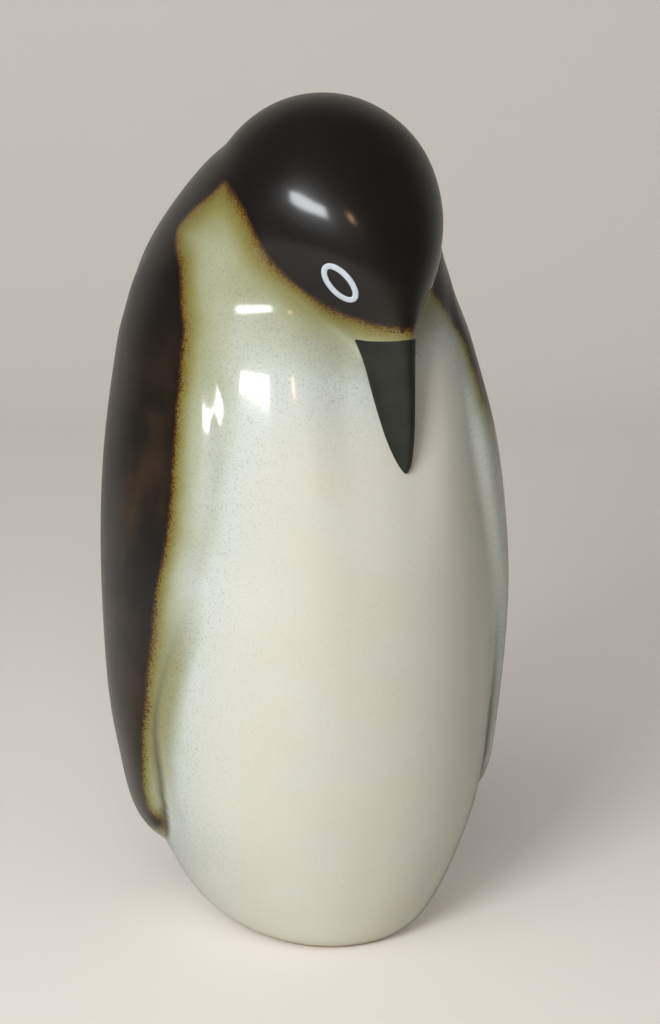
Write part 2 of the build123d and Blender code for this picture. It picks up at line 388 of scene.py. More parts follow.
@dataclass(frozen=True)
class Trunk:
    """The egg-shaped body, in millimetres, with each row of its tables at one height."""

    height: float = 386.0
    half_width: float = 89.5
    front_depth: float = 95.8
    back_depth: float = 95.8
    roundness: float = 2.15
    sections: int = 24
    profile_rows: int = 4000
    longest_ray: float = 200.0
    ray_halvings: int = 34
    height_shares: tuple[float, ...] = (
        0.0, 0.010, 0.036, 0.085, 0.160, 0.260, 0.380, 0.480,
        0.580, 0.665, 0.740, 0.805, 0.865, 0.920, 0.965, 1.0)
    width_shares: tuple[float, ...] = (
        0.480, 0.570, 0.676, 0.790, 0.920, 0.983, 1.0, 0.994,
        0.966, 0.922, 0.872, 0.804, 0.718, 0.604, 0.480, 0.324)
    front_shares: tuple[float, ...] = (
        0.778, 0.826, 0.869, 0.922, 0.963, 0.990, 1.0, 0.990,
        0.920, 0.818, 0.708, 0.624, 0.666, 0.713, 0.666, 0.540)
    back_shares: tuple[float, ...] = (
        0.538, 0.595, 0.664, 0.735, 0.828, 0.911, 0.963, 0.979,
        0.995, 1.0, 0.986, 0.950, 0.850, 0.660, 0.410, 0.132)

    @cached_property
    def profile(self) -> np.ndarray:
        """Rows of height, half width, front depth and back depth, close together."""
        rows = []
        for place in eased(self.sections):
            rows.append([
                place * self.height,
                self.half_width * read_share(self.height_shares, self.width_shares, place),
                self.front_depth * read_share(self.height_shares, self.front_shares, place),
                self.back_depth * read_share(self.height_shares, self.back_shares, place)])
        table = np.array(rows)
        knots = run_lengths(table[:, None, :])
        return curve_through(knots, table, np.linspace(0, knots[-1], self.profile_rows))

    def outline(self, height: np.ndarray) -> tuple[np.ndarray, np.ndarray, np.ndarray]:
        """Half width, middle and half depth of the section at some heights."""
        rows = self.profile
        width = np.interp(height, rows[:, 0], rows[:, 1])
        front = np.interp(height, rows[:, 0], rows[:, 2])
        back = np.interp(height, rows[:, 0], rows[:, 3])
        return width, (front - back) / 2, (front + back) / 2

    def excess(self, points: np.ndarray, growth: np.ndarray) -> np.ndarray:
        """How far points are outside the trunk, below 0 inside it."""
        width, middle, half = self.outline(points[:, 2])
        across = np.abs(points[:, 0]) / (width + growth)
        along = np.abs(-points[:, 1] - middle) / (half + growth)
        outside = across ** self.roundness + along ** self.roundness - 1
        return np.where(points[:, 2] > self.height, 1.0, outside)

    def reach(self, start: np.ndarray, way: np.ndarray, growth: np.ndarray) -> np.ndarray:
        """How far rays run from inside the trunk to its surface.

        Args:
            start: Where each ray starts.
            way: The direction of each ray.
            growth: How far the surface is grown at each ray.

        Returns:
            The length of each ray.
        """
        low = np.zeros(len(start))
        high = np.full(len(start), self.longest_ray)
        for _ in range(self.ray_halvings):
            middle = (low + high) / 2
            inside = self.excess(start + way * middle[:, None], growth) < 0
            low = np.where(inside, middle, low)
            high = np.where(inside, high, middle)
        return (low + high) / 2

    def turn(self, points: np.ndarray) -> np.ndarray:
        """The angle of points from the side round to the front, the same on the left and right."""
        width, middle, half = self.outline(points[:, 2])
        across = np.abs(points[:, 0]) / width
        along = (-points[:, 1] - middle) / half
        power = self.roundness / 2
        return np.arctan2(np.sign(along) * np.abs(along) ** power, across ** power)

    def turn_at(self, height: np.ndarray, forward: np.ndarray) -> np.ndarray:
        """The angle at which the surface is this far forward."""
        _, middle, half = self.outline(height)
        part = np.clip((forward - middle) / half, -1, 1)
        return np.arcsin(np.clip(np.sign(part) * np.abs(part) ** (self.roundness / 2), -1, 1))


@dataclass(frozen=True)
class Flipper:
    """A long leaf laid on the trunk's side, in millimetres, each table row at one height."""

    tip_height: float = 40.5
    top_height: float = 322.0
    front_reach: float = 60.8
    back_reach: float = 62.3
    thickness: float = 9.4
    edge_share: float = 0.65
    sections: int = 24
    tip_roundness: float = 7.0
    edge_softness: float = 3.0
    top_fade: float = 40.0
    shoulder_proud: float = 2.2
    shoulder_height: float = 312.0
    shoulder_spread: float = 26.0
    # The share of the trunk's half width where the shoulder starts, and over which it grows
    shoulder_side: tuple[float, float] = (0.5, 0.4)
    height_shares: tuple[float, ...] = (
        0.0, 0.009, 0.030, 0.055, 0.091, 0.147, 0.229, 0.336,
        0.460, 0.584, 0.709, 0.815, 0.904, 0.964, 1.0)
    front_shares: tuple[float, ...] = (
        0.14, 0.24, 0.37, 0.46, 0.52, 0.54, 0.54, 0.67,
        0.90, 1.0, 0.975, 0.83, 0.60, 0.35, 0.10)
    back_shares: tuple[float, ...] = (
        0.04, 0.16, 0.32, 0.42, 0.50, 0.58, 0.68, 0.81,
        0.92, 0.98, 1.0, 0.935, 0.81, 0.62, 0.36)
    proud_shares: tuple[float, ...] = (
        0.18, 0.36, 0.62, 0.75, 0.79, 0.80, 0.92, 0.98,
        1.0, 0.96, 0.86, 0.68, 0.44, 0.22, 0.05)
    lean_shares: tuple[float, ...] = (
        0.0, 0.05, 0.22, 0.35, 0.45, 0.50, 0.45, 0.35,
        0.15, 0.0, 0.0, 0.0, 0.0, 0.0, 0.0)

    def rows(self, height: np.ndarray) -> np.ndarray:
        """Front, back, thickness and lean of the flipper at some heights."""
        table = []
        for place in eased(self.sections):
            table.append([
                self.front_reach * read_share(self.height_shares, self.front_shares, place),
                -self.back_reach * read_share(self.height_shares, self.back_shares, place),
                self.thickness * read_share(self.height_shares, self.proud_shares, place),
                read_share(self.height_shares, self.lean_shares, place)])
        knots = self.tip_height + (self.top_height - self.tip_height) * eased(self.sections)
        return curve_through(knots, np.array(table), np.clip(height, knots[0], knots[-1]))

    def lie(self, trunk: Trunk, points: np.ndarray) -> tuple[np.ndarray, np.ndarray, np.ndarray]:
        """Where points of the trunk lie against the flipper, and how proud it stands there.

        Args:
            trunk: The trunk that carries the flipper.
            points: Points of the trunk's surface.

        Returns:
            The distance inside the flipper's outline, below 0 outside it, its height there, and
            the place across it, from -1 at its back edge to 1 at its front edge.
        """
        height = points[:, 2]
        front, back, thickness, lean = self.rows(height).T
        first, last = trunk.turn_at(height, front), trunk.turn_at(height, back)
        place = (trunk.turn(points) - (first + last) / 2) / ((first - last) / 2)
        width, _, half = trunk.outline(height)
        breadth = (first - last) / 2 * (width + half) / 2
        inside = np.minimum((1 - np.abs(place)) * breadth, height - self.tip_height)
        inside = np.minimum(inside, self.top_height - height)
        bulge = np.clip(1 - place ** 2, 0, None) ** (self.edge_share / 2)
        end = np.clip((height - self.tip_height) / self.tip_roundness, 0, 1)
        proud = thickness * bulge * (1 + lean * place) * np.sqrt(1 - (1 - end) ** 2)
        proud *= smooth_step((self.top_height - height) / self.top_fade)
        proud = soft_max(np.where(inside > 0, proud, 2 * inside), np.zeros(1), self.edge_softness)
        start, grown = self.shoulder_side
        side = smooth_step((np.abs(points[:, 0]) / width - start) / grown)
        shoulder = np.exp(-((height - self.shoulder_height) / self.shoulder_spread) ** 2)
        return inside, proud + self.shoulder_proud * side * shoulder, place


def ridged_row(
        forward: float, height: float, pitch: float, width: float, depth: float,
        ridge: float, columns: int) -> np.ndarray:
    """A ring of points square to its pitch and drawn in towards the crown by its ridge.

    Args:
        forward: How far forward its middle is.
        height: How high its middle is.
        pitch: How far its direction points below the horizon, in degrees.
        width: Half its width.
        depth: Half its depth.
        ridge: How much it is drawn in towards the crown.
        columns: How many points it has.

    Returns:
        The points, in the head's own frame.
    """
    turn = 2 * np.pi * np.arange(columns) / columns
    down = math.radians(pitch)
    crown = np.array([0, -math.sin(down), math.cos(down)])
    across = width * (np.sin(turn) - ridge * np.sin(2 * turn))
    rise = depth * (np.cos(turn) + ridge * np.cos(2 * turn))
    middle = np.array([0, -forward, height])
    return middle + across[:, None] * np.array([1.0, 0, 0]) + rise[:, None] * crown


@dataclass(frozen=True)
class Bill:
    """The matt wedge of the bill, in millimetres, each table row at one place along it."""

    half_width: float = 14.7
    half_depth: float = 12.6
    length: float = 61.6
    pitch: float = 86.0
    clearance: float = 0.25
    sections: int = 10
    ridge_share: float = 0.18
    columns: int = 96
    rows: int = 90
    # How far the rings that close the root are drawn in, and how much of the last one they keep
    root_rings: tuple[float, ...] = (0.35, 0.06, 0.02)
    root_edge: float = 0.8
    # How far the rings that close the tip are drawn in, and how far past its end they lie
    tip_rings: tuple[tuple[float, float], ...] = ((0.3, 0.35), (0.7, 0.7))
    tip_reach: float = 0.8
    length_shares: tuple[float, ...] = (0.0, 0.114, 0.373, 0.609, 0.763, 0.836, 0.909, 0.966, 1.0)
    width_shares: tuple[float, ...] = (1.0, 0.878, 0.707, 0.565, 0.463, 0.381, 0.286, 0.177, 0.082)
    depth_shares: tuple[float, ...] = (1.0, 0.905, 0.762, 0.635, 0.532, 0.444, 0.333, 0.206, 0.095)
    lift_shares: tuple[float, ...] = (0.0, 0.136, 0.309, 0.435, 0.493, 0.540, 0.602, 0.662, 0.690)
    ridge_row_shares: tuple[float, ...] = (1.0, 1.0, 1.0, 0.95, 0.85, 0.70, 0.50, 0.30, 0.0)

    def section(
            self, root: tuple[float, float], place: float, growth: float,
            columns: int) -> np.ndarray:
        """One ring of the bill's surface, in the head's frame.

        Args:
            root: How far forward and how high the bill's root is.
            place: From 0 at the root to 1 at the tip.
            growth: How far the ring is grown.
            columns: How many points it has.

        Returns:
            The ring's points.
        """
        down = math.radians(self.pitch)
        run = self.length * place
        lift = self.half_depth * read_share(self.length_shares, self.lift_shares, place)
        return ridged_row(
            root[0] + run * math.cos(down) + lift * math.sin(down),
            root[1] - run * math.sin(down) + lift * math.cos(down), self.pitch,
            self.half_width * read_share(self.length_shares, self.width_shares, place) + growth,
            self.half_depth * read_share(self.length_shares, self.depth_shares, place) + growth,
            self.ridge_share * read_share(self.length_shares, self.ridge_row_shares, place),
            columns)

    def build(self, head: "Head", trunk: Trunk, origin: "RayFan") -> bpy.types.Object:
        """Make the bill, closed at its root and tip, its underside lying on the breast."""
        places = np.sin(np.pi / 2 * np.arange(self.sections + 1) / self.sections)
        rings = np.array([self.section(head.root, place, 0, self.columns) for place in places])
        knots = run_lengths(rings)
        flat = rings.reshape(len(rings), -1)
        fine = curve_through(
            knots, flat, np.linspace(0, knots[-1], self.rows)).reshape(self.rows, -1, 3)
        rings = [fine[0] + (fine[0].mean(axis=0) - fine[0]) * share for share in self.root_rings]
        rings[-1] = rings[-1] * self.root_edge + fine[1] * (1 - self.root_edge)
        end = fine[-1].mean(axis=0)
        way = end - fine[-2].mean(axis=0)
        way = way / np.linalg.norm(way)
        tip = [fine[-1] + (end - fine[-1]) * share + way * rise for share, rise in self.tip_rings]
        points = np.concatenate(rings + [fine[1:].reshape(-1, 3)] + tip)
        points = np.concatenate([points, [rings[0].mean(axis=0)], [end + way * self.tip_reach]])
        points = origin.lifted(head.placed(points), trunk, self.clearance)
        return closed_tube("bill_wedge", points, self.columns)


@dataclass(frozen=True)
class Head:
    """The bowed head, in millimetres: a ball that runs out into the face and the bill's root."""

    radius: float = 59.5
    half_width: float = 55.0
    forward: float = 19.0
    height: float = 342.0
    face_length: float = 72.7
    face_pitch: float = 40.3
    turn: float = 13.0
    pivot_forward: float = -1.2
    ball_sections: int = 6
    face_sections: int = 6
    columns: int = 240
    row_step: float = 1.2
    pole_angle: float = 5.0
    hidden_places: tuple[float, ...] = (0.06, 0.12)
    hidden_depth: float = 0.7
    length_shares: tuple[float, ...] = (0.0, 0.24, 0.48, 0.70, 0.87, 1.0)
    width_shares: tuple[float, ...] = (1.0, 0.941, 0.774, 0.552, 0.373)
    depth_shares: tuple[float, ...] = (1.0, 0.94, 0.77, 0.525, 0.325)
    bend_shares: tuple[float, ...] = (0.0, 0.08, 0.30, 0.58, 0.82, 1.0)
    ridge_shares: tuple[float, ...] = (0.0, 0.0, 0.11, 0.33, 0.67, 1.0)

    @property
    def root(self) -> tuple[float, float]:
        """How far forward and how high the bill's root is."""
        down = math.radians(self.face_pitch)
        forward = self.forward + self.face_length * math.cos(down)
        return forward, self.height - self.face_length * math.sin(down)

    def placed(self, points: np.ndarray) -> np.ndarray:
        """Points of the head's own frame, turned to the side as the head is."""
        angle = math.radians(self.turn)
        turned = points.copy()
        turned[:, 0] = points[:, 0] * math.cos(angle) - points[:, 1] * math.sin(angle)
        turned[:, 1] = points[:, 0] * math.sin(angle) + points[:, 1] * math.cos(angle)
        turned[:, 1] -= self.pivot_forward
        return turned

    def forward_of(self, points: np.ndarray) -> np.ndarray:
        """How far forward points are in the head's own frame."""
        angle = math.radians(self.turn)
        behind = points[:, 1] + self.pivot_forward
        return points[:, 0] * math.sin(angle) - behind * math.cos(angle)

    def way(self, direction: Sequence[float]) -> Vector:
        """A direction of the head's own frame, turned as the head is."""
        moved = self.placed(np.array([direction, (0.0, 0.0, 0.0)], float))
        return Vector(moved[0] - moved[1]).normalized()

    def ring(
            self, run: float, pitch: float, width: float, depth: float, ridge: float) -> np.ndarray:
        """One ring of the head, this far down the face's line from the middle of the ball."""
        down = math.radians(self.face_pitch)
        return ridged_row(
            self.forward + run * math.cos(down), self.height - run * math.sin(down), pitch,
            width, depth, ridge, self.columns)

    def form(self, bill: Bill) -> bpy.types.Object:
        """Make the whole head as a closed form for the glaze to lie on, not to be shown."""
        rings = []
        span = 90 - self.pole_angle
        angles = [
            self.pole_angle + span * step / self.ball_sections
            for step in range(self.ball_sections)]
        for angle in np.radians([0.0] + angles):
            rings.append(self.ring(
                -self.radius * math.cos(angle), self.face_pitch,
                self.half_width * math.sin(angle), self.radius * math.sin(angle), 0))
        widths = self.width_shares + (bill.half_width / self.half_width,)
        depths = self.depth_shares + (bill.half_depth / self.radius,)
        for step in range(self.face_sections + 1):
            place = step / self.face_sections
            width, depth, bend, ridge = (
                read_share(self.length_shares, shares, place)
                for shares in (widths, depths, self.bend_shares, self.ridge_shares))
            rings.append(self.ring(
                self.face_length * place, self.face_pitch + (bill.pitch - self.face_pitch) * bend,
                self.half_width * width, self.radius * depth, bill.ridge_share * ridge))
        knots = run_lengths(np.array(rings))
        count = int(knots[-1] / self.row_step)
        flat = np.array(rings).reshape(len(rings), -1)
        fine = curve_through(knots, flat, np.linspace(0, knots[-1], count)).reshape(count, -1, 3)
        inner = [bill.section(self.root, place, -self.hidden_depth, self.columns)
                 for place in self.hidden_places]
        stack = np.concatenate([fine[1:], np.array(inner)])
        ends = np.array([fine[0].mean(axis=0), stack[-1].mean(axis=0)])
        points = self.placed(np.concatenate([stack.reshape(-1, 3), ends]))
        return closed_tube("head_form", points, self.columns)


@dataclass(frozen=True)
class RayFan:
    """Rays out to the body's surface, in millimetres, one for each point of the glaze."""

    columns: int = 360
    step: float = 1.7
    dome_height: float = 320.0
    dome_forward: float = 15.0
    dome_rows: int = 76
    low_height: float = 180.0
    high_height: float = 300.0

    def forward(self, trunk: Trunk, height: np.ndarray) -> np.ndarray:
        """How far forward the rays start at some heights."""
        _, middle, _ = trunk.outline(height)
        part = smooth_step((height - self.low_height) / (self.high_height - self.low_height))
        return middle * (1 - part) + self.dome_forward * part

    def cast(self, trunk: Trunk) -> tuple[np.ndarray, np.ndarray, int]:
        """Lay out the rays row by row from the foot to the crown.

        Args:
            trunk: The trunk that the rays start in.

        Returns:
            The starts, the directions and the number of rows. The last ray points straight up.
        """
        rows = trunk.profile[trunk.profile[:, 0] < self.dome_height]
        lengths = run_lengths(rows[:, None, :2])
        even = np.linspace(0, lengths[-1], int(lengths[-1] / self.step))
        heights = np.interp(even, lengths, rows[:, 0])
        heights[0] = 0
        around = 2 * np.pi * np.arange(self.columns) / self.columns
        starts, ways = [], []
        for height, forward in zip(heights, self.forward(trunk, heights)):
            starts.append(np.tile([0, -forward, height], (self.columns, 1)))
            ways.append(np.stack([np.cos(around), -np.sin(around), np.zeros(self.columns)], axis=1))
        for pitch in np.pi / 2 * np.arange(1, self.dome_rows) / self.dome_rows:
            starts.append(np.tile([0, -self.dome_forward, self.dome_height], (self.columns, 1)))
            level = math.cos(pitch)
            ways.append(np.stack([
                np.cos(around) * level, -np.sin(around) * level,
                np.full(self.columns, math.sin(pitch))], axis=1))
        starts.append(starts[-1][:1])
        ways.append(np.array([[0.0, 0, 1]]))
        return np.concatenate(starts), np.concatenate(ways), len(starts) - 1

    def lifted(self, points: np.ndarray, trunk: Trunk, clearance: float) -> np.ndarray:
        """Points with those inside the trunk brought out to just off its surface."""
        growth = np.full(len(points), clearance)
        start = np.stack(
            [np.zeros(len(points)), -self.forward(trunk, points[:, 2]), points[:, 2]], axis=1)
        span = points - start
        length = np.linalg.norm(span, axis=1)
        way = span / np.maximum(length, 1e-9)[:, None]
        reach = trunk.reach(start, way, growth)
        return start + way * np.maximum(length, reach)[:, None]


class Wall(Enum):
    """The closed pieces that the glazed skin is cut into."""

    BREAST = "breast_wall"
    BACK = "back_wall"
    HEAD = "head_wall"
    FLIPPER_LEFT = "flipper_left_leaf"
    FLIPPER_RIGHT = "flipper_right_leaf"


@dataclass(frozen=True)
class DarkBorder:
    """Where the dark glaze ends, in millimetres, and how softly it fades into the light one."""

    # Height and how far forward, up the flipper and round the neck
    side_rows: tuple[tuple[float, float], ...] = (
        (0.0, -42.0), (20.0, -34.0), (36.0, -14.0), (46.0, 10.0), (54.0, 26.0), (59.5, 29.0),
        (63.5, 26.0), (73.9, 26.4), (88.9, 28.8), (104.2, 31.1), (119.1, 34.5), (134.6, 38.6),
        (149.4, 42.5), (164.1, 44.9), (178.4, 46.7), (192.3, 49.5), (206.2, 51.0), (219.3, 50.7),
        (232.4, 49.5), (250.9, 46.3), (263.4, 42.6), (275.8, 39.0), (288.2, 34.1), (298.1, 29.7),
        (304.0, 25.9), (308.9, 23.0), (315.1, 20.0), (324.9, 14.9), (333.0, 6.4), (338.9, 2.1),
        (343.7, 4.5), (349.7, 10.8), (355.8, 19.3), (359.7, 23.0), (363.1, 27.0), (368.0, 40.0))
    # Height, how much further forward on the left side, and the share of the fade there
    left_rows: tuple[tuple[float, float, float], ...] = (
        (0.0, 0.0, 1.0), (60.0, -8.0, 1.0), (110.0, -16.0, 1.0), (200.0, -18.0, 1.0),
        (235.0, -5.0, 0.7), (258.0, 8.0, 0.5), (289.0, 8.5, 0.4), (299.0, 13.0, 0.4),
        (312.0, 24.0, 0.4), (322.0, 26.0, 0.5), (336.0, 14.0, 0.7), (350.0, 0.0, 1.0))
    # How far forward in the head's own frame and height, from the nape to the bill
    head_rows: tuple[tuple[float, float], ...] = (
        (8.0, 368.0), (16.8, 363.1), (19.4, 362.2), (27.5, 357.6), (34.6, 351.6), (38.7, 345.2),
        (42.2, 338.6), (45.2, 331.9), (48.9, 325.8), (52.8, 320.2), (56.5, 315.8), (59.9, 312.4),
        (64.3, 309.1), (69.2, 305.9), (74.5, 303.9), (79.8, 302.0), (84.1, 301.0), (88.7, 300.0))
    # Height, and how far from the border the sides' glaze is sage, mist and cream
    side_fade: tuple[tuple[float, float, float, float], ...] = (
        (40.0, 6.0, 15.0, 60.0), (120.0, 6.5, 17.0, 64.0), (165.0, 7.0, 17.0, 62.0),
        (210.0, 7.5, 18.0, 58.0), (256.0, 8.0, 22.0, 62.0), (290.0, 10.0, 32.0, 78.0),
        (308.0, 12.0, 44.0, 95.0), (345.0, 16.0, 52.0, 100.0))
    # How far forward, and the same three distances under the head
    head_fade: tuple[tuple[float, float, float, float], ...] = (
        (14.0, 16.0, 50.0, 100.0), (50.0, 12.5, 44.0, 92.0), (70.0, 10.5, 34.0, 76.0),
        (88.0, 9.0, 24.0, 60.0))
    # Where sage, mist and cream lie on the fade, and how far past the cream it may run
    fade_places: tuple[float, float, float] = (0.22, 0.45, 0.95)
    fade_limit: float = 1.1
    # Keeps a point on the border from a distance of 0
    least_gap: float = 0.001
    dark_spread: float = 50.0
    # How steeply the second band sets in across the flipper
    band_rise: float = 4.0
    # Height, strength and offset of the second band in front of the flipper: olive spray low down,
    # and painted shade in the valley higher up
    band_and_shade_rows: tuple[tuple[float, float, float], ...] = (
        (50.0, 0.0, 1.0), (70.0, 0.25, 1.0), (84.0, 0.5, 1.0), (97.0, 0.75, 1.2),
        (110.0, 0.9, 1.6), (123.0, 0.95, 2.0), (140.0, 0.9, 2.5), (155.0, 0.6, 3.0),
        (168.0, 0.35, 3.0), (185.0, 0.25, 2.5), (203.0, 0.3, 2.0), (237.0, 0.34, 2.0),
        (267.0, 0.34, 2.0), (289.0, 0.2, 2.0), (305.0, 0.0, 2.0))
    band_width: tuple[float, float] = (5.0, 13.0)
    left_band_share: float = 0.3
    # How wide the change from the right side's rows to the left side's is, and then where its
    # fade changes and over how much
    middle_width: float = 8.0
    left_fade: tuple[float, float] = (8.0, 40.0)
    # The body beside the flipper's tip stays light below this height and in front of this line,
    # each with the width of its change
    tip_clear: tuple[float, float] = (86.0, 16.0)
    tip_forward: tuple[float, float] = (12.0, 8.0)
    tip_leaf: float = 1.5
    # Height and strength of the painted shade line in the crease at the flipper's edge
    crease_shade_rows: tuple[tuple[float, float], ...] = (
        (36.0, 0.0), (48.0, 0.8), (90.0, 0.75), (115.0, 0.5), (140.0, 0.2), (160.0, 0.0))
    crease_width: float = 1.1
    line_rows: int = 900
    line_samples: int = 9

    def side_measure(self, points: np.ndarray) -> np.ndarray:
        """How far points lie in front of the dark glaze of the sides and the back."""
        rows = np.array(self.side_rows)
        heights = np.linspace(0, rows[-1, 0], self.line_rows)
        line = [read_share(rows[:, 0], rows[:, 1], height) for height in heights]
        left = np.array(self.left_rows)
        shift = np.interp(points[:, 2], left[:, 0], left[:, 1])
        shift *= smooth_step(points[:, 0] / self.middle_width + 0.5)
        return -points[:, 1] - np.interp(points[:, 2], heights, line) - shift

    def head_measure(self, head: Head, points: np.ndarray) -> np.ndarray:
        """How far points lie below the dark glaze of the head."""
        rows = np.array(self.head_rows)
        return np.interp(head.forward_of(points), rows[:, 0], rows[:, 1]) - points[:, 2]

    def line(
            self, mesh: bpy.types.Mesh, points: np.ndarray, measure: np.ndarray,
            other: np.ndarray) -> tuple[np.ndarray, np.ndarray]:
        """Find the part of a border on the skin, and how far each point is from it.

        Args:
            mesh: The skin.
            points: Its points.
            measure: A measure that is 0 on the border.
            other: A measure that is above 0 where this border counts.

        Returns:
            Each point's distance from the border, and the nearest place on it.
        """
        first, last = read_numbers(mesh.edges, "vertices", 2).reshape(-1, 2).T
        crossed = (measure[first] > 0) != (measure[last] > 0)
        step = measure[first] - measure[last]
        share = np.where(crossed, measure[first] / np.where(crossed, step, 1), 0)[:, None]
        spots = np.column_stack([points, other])
        spots = spots[first] * (1 - share) + spots[last] * share
        around = read_numbers(mesh.loops, "edge_index")
        pairs = spots[around[crossed[around]]].reshape(-1, 2, 4)
        shares = np.linspace(0, 1, self.line_samples)[None, :, None]
        samples = (pairs[:, :1] * (1 - shares) + pairs[:, 1:] * shares).reshape(-1, 4)
        samples = samples[samples[:, 3] > 0, :3]
        tree = KDTree(len(samples))
        for index, sample in enumerate(samples.tolist()):
            tree.insert(sample, index)
        tree.balance()
        found = [tree.find(point) for point in points.tolist()]
        return np.array([item[2] for item in found]), samples[[item[1] for item in found]]

    def fade(self, gap: np.ndarray, where: np.ndarray, table: Sequence, share: np.ndarray) -> tuple:
        """Turn a distance from the border into a place between the dark glaze and the cream.

        Args:
            gap: The distance.
            where: The place along the border that is nearest.
            table: The rows of places along the border, each with its three distances.
            share: How much of those distances counts.

        Returns:
            The place, 0 on the border and 1 in the cream, and the distance to the sage glaze.
        """
        rows = np.array(table)
        near, far, clear = (
            np.interp(where, rows[:, 0], rows[:, column]) * share for column in (1, 2, 3))
        sage, mist, cream = self.fade_places
        place = sage * np.clip(gap / near, 0, 1)
        place += (mist - sage) * np.clip((gap - near) / (far - near), 0, 1)
        place += (cream - mist) * np.clip((gap - far) / (clear - far), 0, self.fade_limit)
        return place, near

    def paint(self, mesh: bpy.types.Mesh, head: Head, facts: dict) -> dict[str, np.ndarray]:
        """Measure every point of the skin against the border.

        Args:
            mesh: The skin.
            head: The head.
            facts: The skin's measures.

        Returns:
            The distance into the light glaze, below 0 in the dark, the width of the fade and the
            strength of the second band: olive spray low down, painted valley shade higher up.
        """
        points = facts["place"]
        side, crown = self.side_measure(points), self.head_measure(head, points)
        side_gap, side_spot = self.line(mesh, points, side, crown)
        head_gap, head_spot = self.line(mesh, points, crown, side)
        side_gap, head_gap = side_gap + self.least_gap, head_gap + self.least_gap
        left = np.array(self.left_rows)
        share = np.interp(points[:, 2], left[:, 0], left[:, 2])
        start, width = self.left_fade
        share = 1 - (1 - share) * smooth_step((points[:, 0] - start) / width)
        side_place, side_near = self.fade(side_gap, side_spot[:, 2], self.side_fade, share)
        head_place, head_near = self.fade(
            head_gap, head.forward_of(head_spot), self.head_fade, share)
        side_part = head_gap ** 2 / (side_gap ** 2 + head_gap ** 2)
        spread = (side_near * side_part + head_near * (1 - side_part)) / self.fade_places[0]
        place = (side_place ** -3 + head_place ** -3) ** (-1 / 3)
        (top, fade), (line, change) = self.tip_clear, self.tip_forward
        clear = smooth_step(-facts["leaf"] / self.tip_leaf)
        clear *= smooth_step((top - points[:, 2]) / fade)
        clear *= smooth_step((-points[:, 1] - line) / change)
        place += np.clip(self.fade_places[1] - place, 0, None) * clear
        dark = -np.minimum(side_gap, head_gap) / self.dark_spread
        # The second band: olive spray low on the flipper, painted shade in the valley higher up
        band = np.array(self.band_and_shade_rows)
        strength = np.interp(points[:, 2], band[:, 0], band[:, 1])
        strength *= np.clip(facts["across"] * self.band_rise, 0, 1)
        strength = np.where(points[:, 0] > 0, self.left_band_share * strength, strength)
        offset = facts["leaf"] + np.interp(points[:, 2], band[:, 0], band[:, 2])
        width = np.where(offset > 0, *self.band_width)
        return {
            "edge_distance": np.where((side > 0) & (crown > 0), place, dark * (1 - clear)) * spread,
            "edge_spread": spread, "edge_band_and_shade": strength * np.exp(-(offset / width) ** 2)}

    def crease(self, leaf: np.ndarray, height: np.ndarray) -> np.ndarray:
        """How dark the painted shade in the crease at the flipper's edge is."""
        rows = np.array(self.crease_shade_rows)
        return np.interp(height, rows[:, 0], rows[:, 1]) * np.exp(-(leaf / self.crease_width) ** 2)


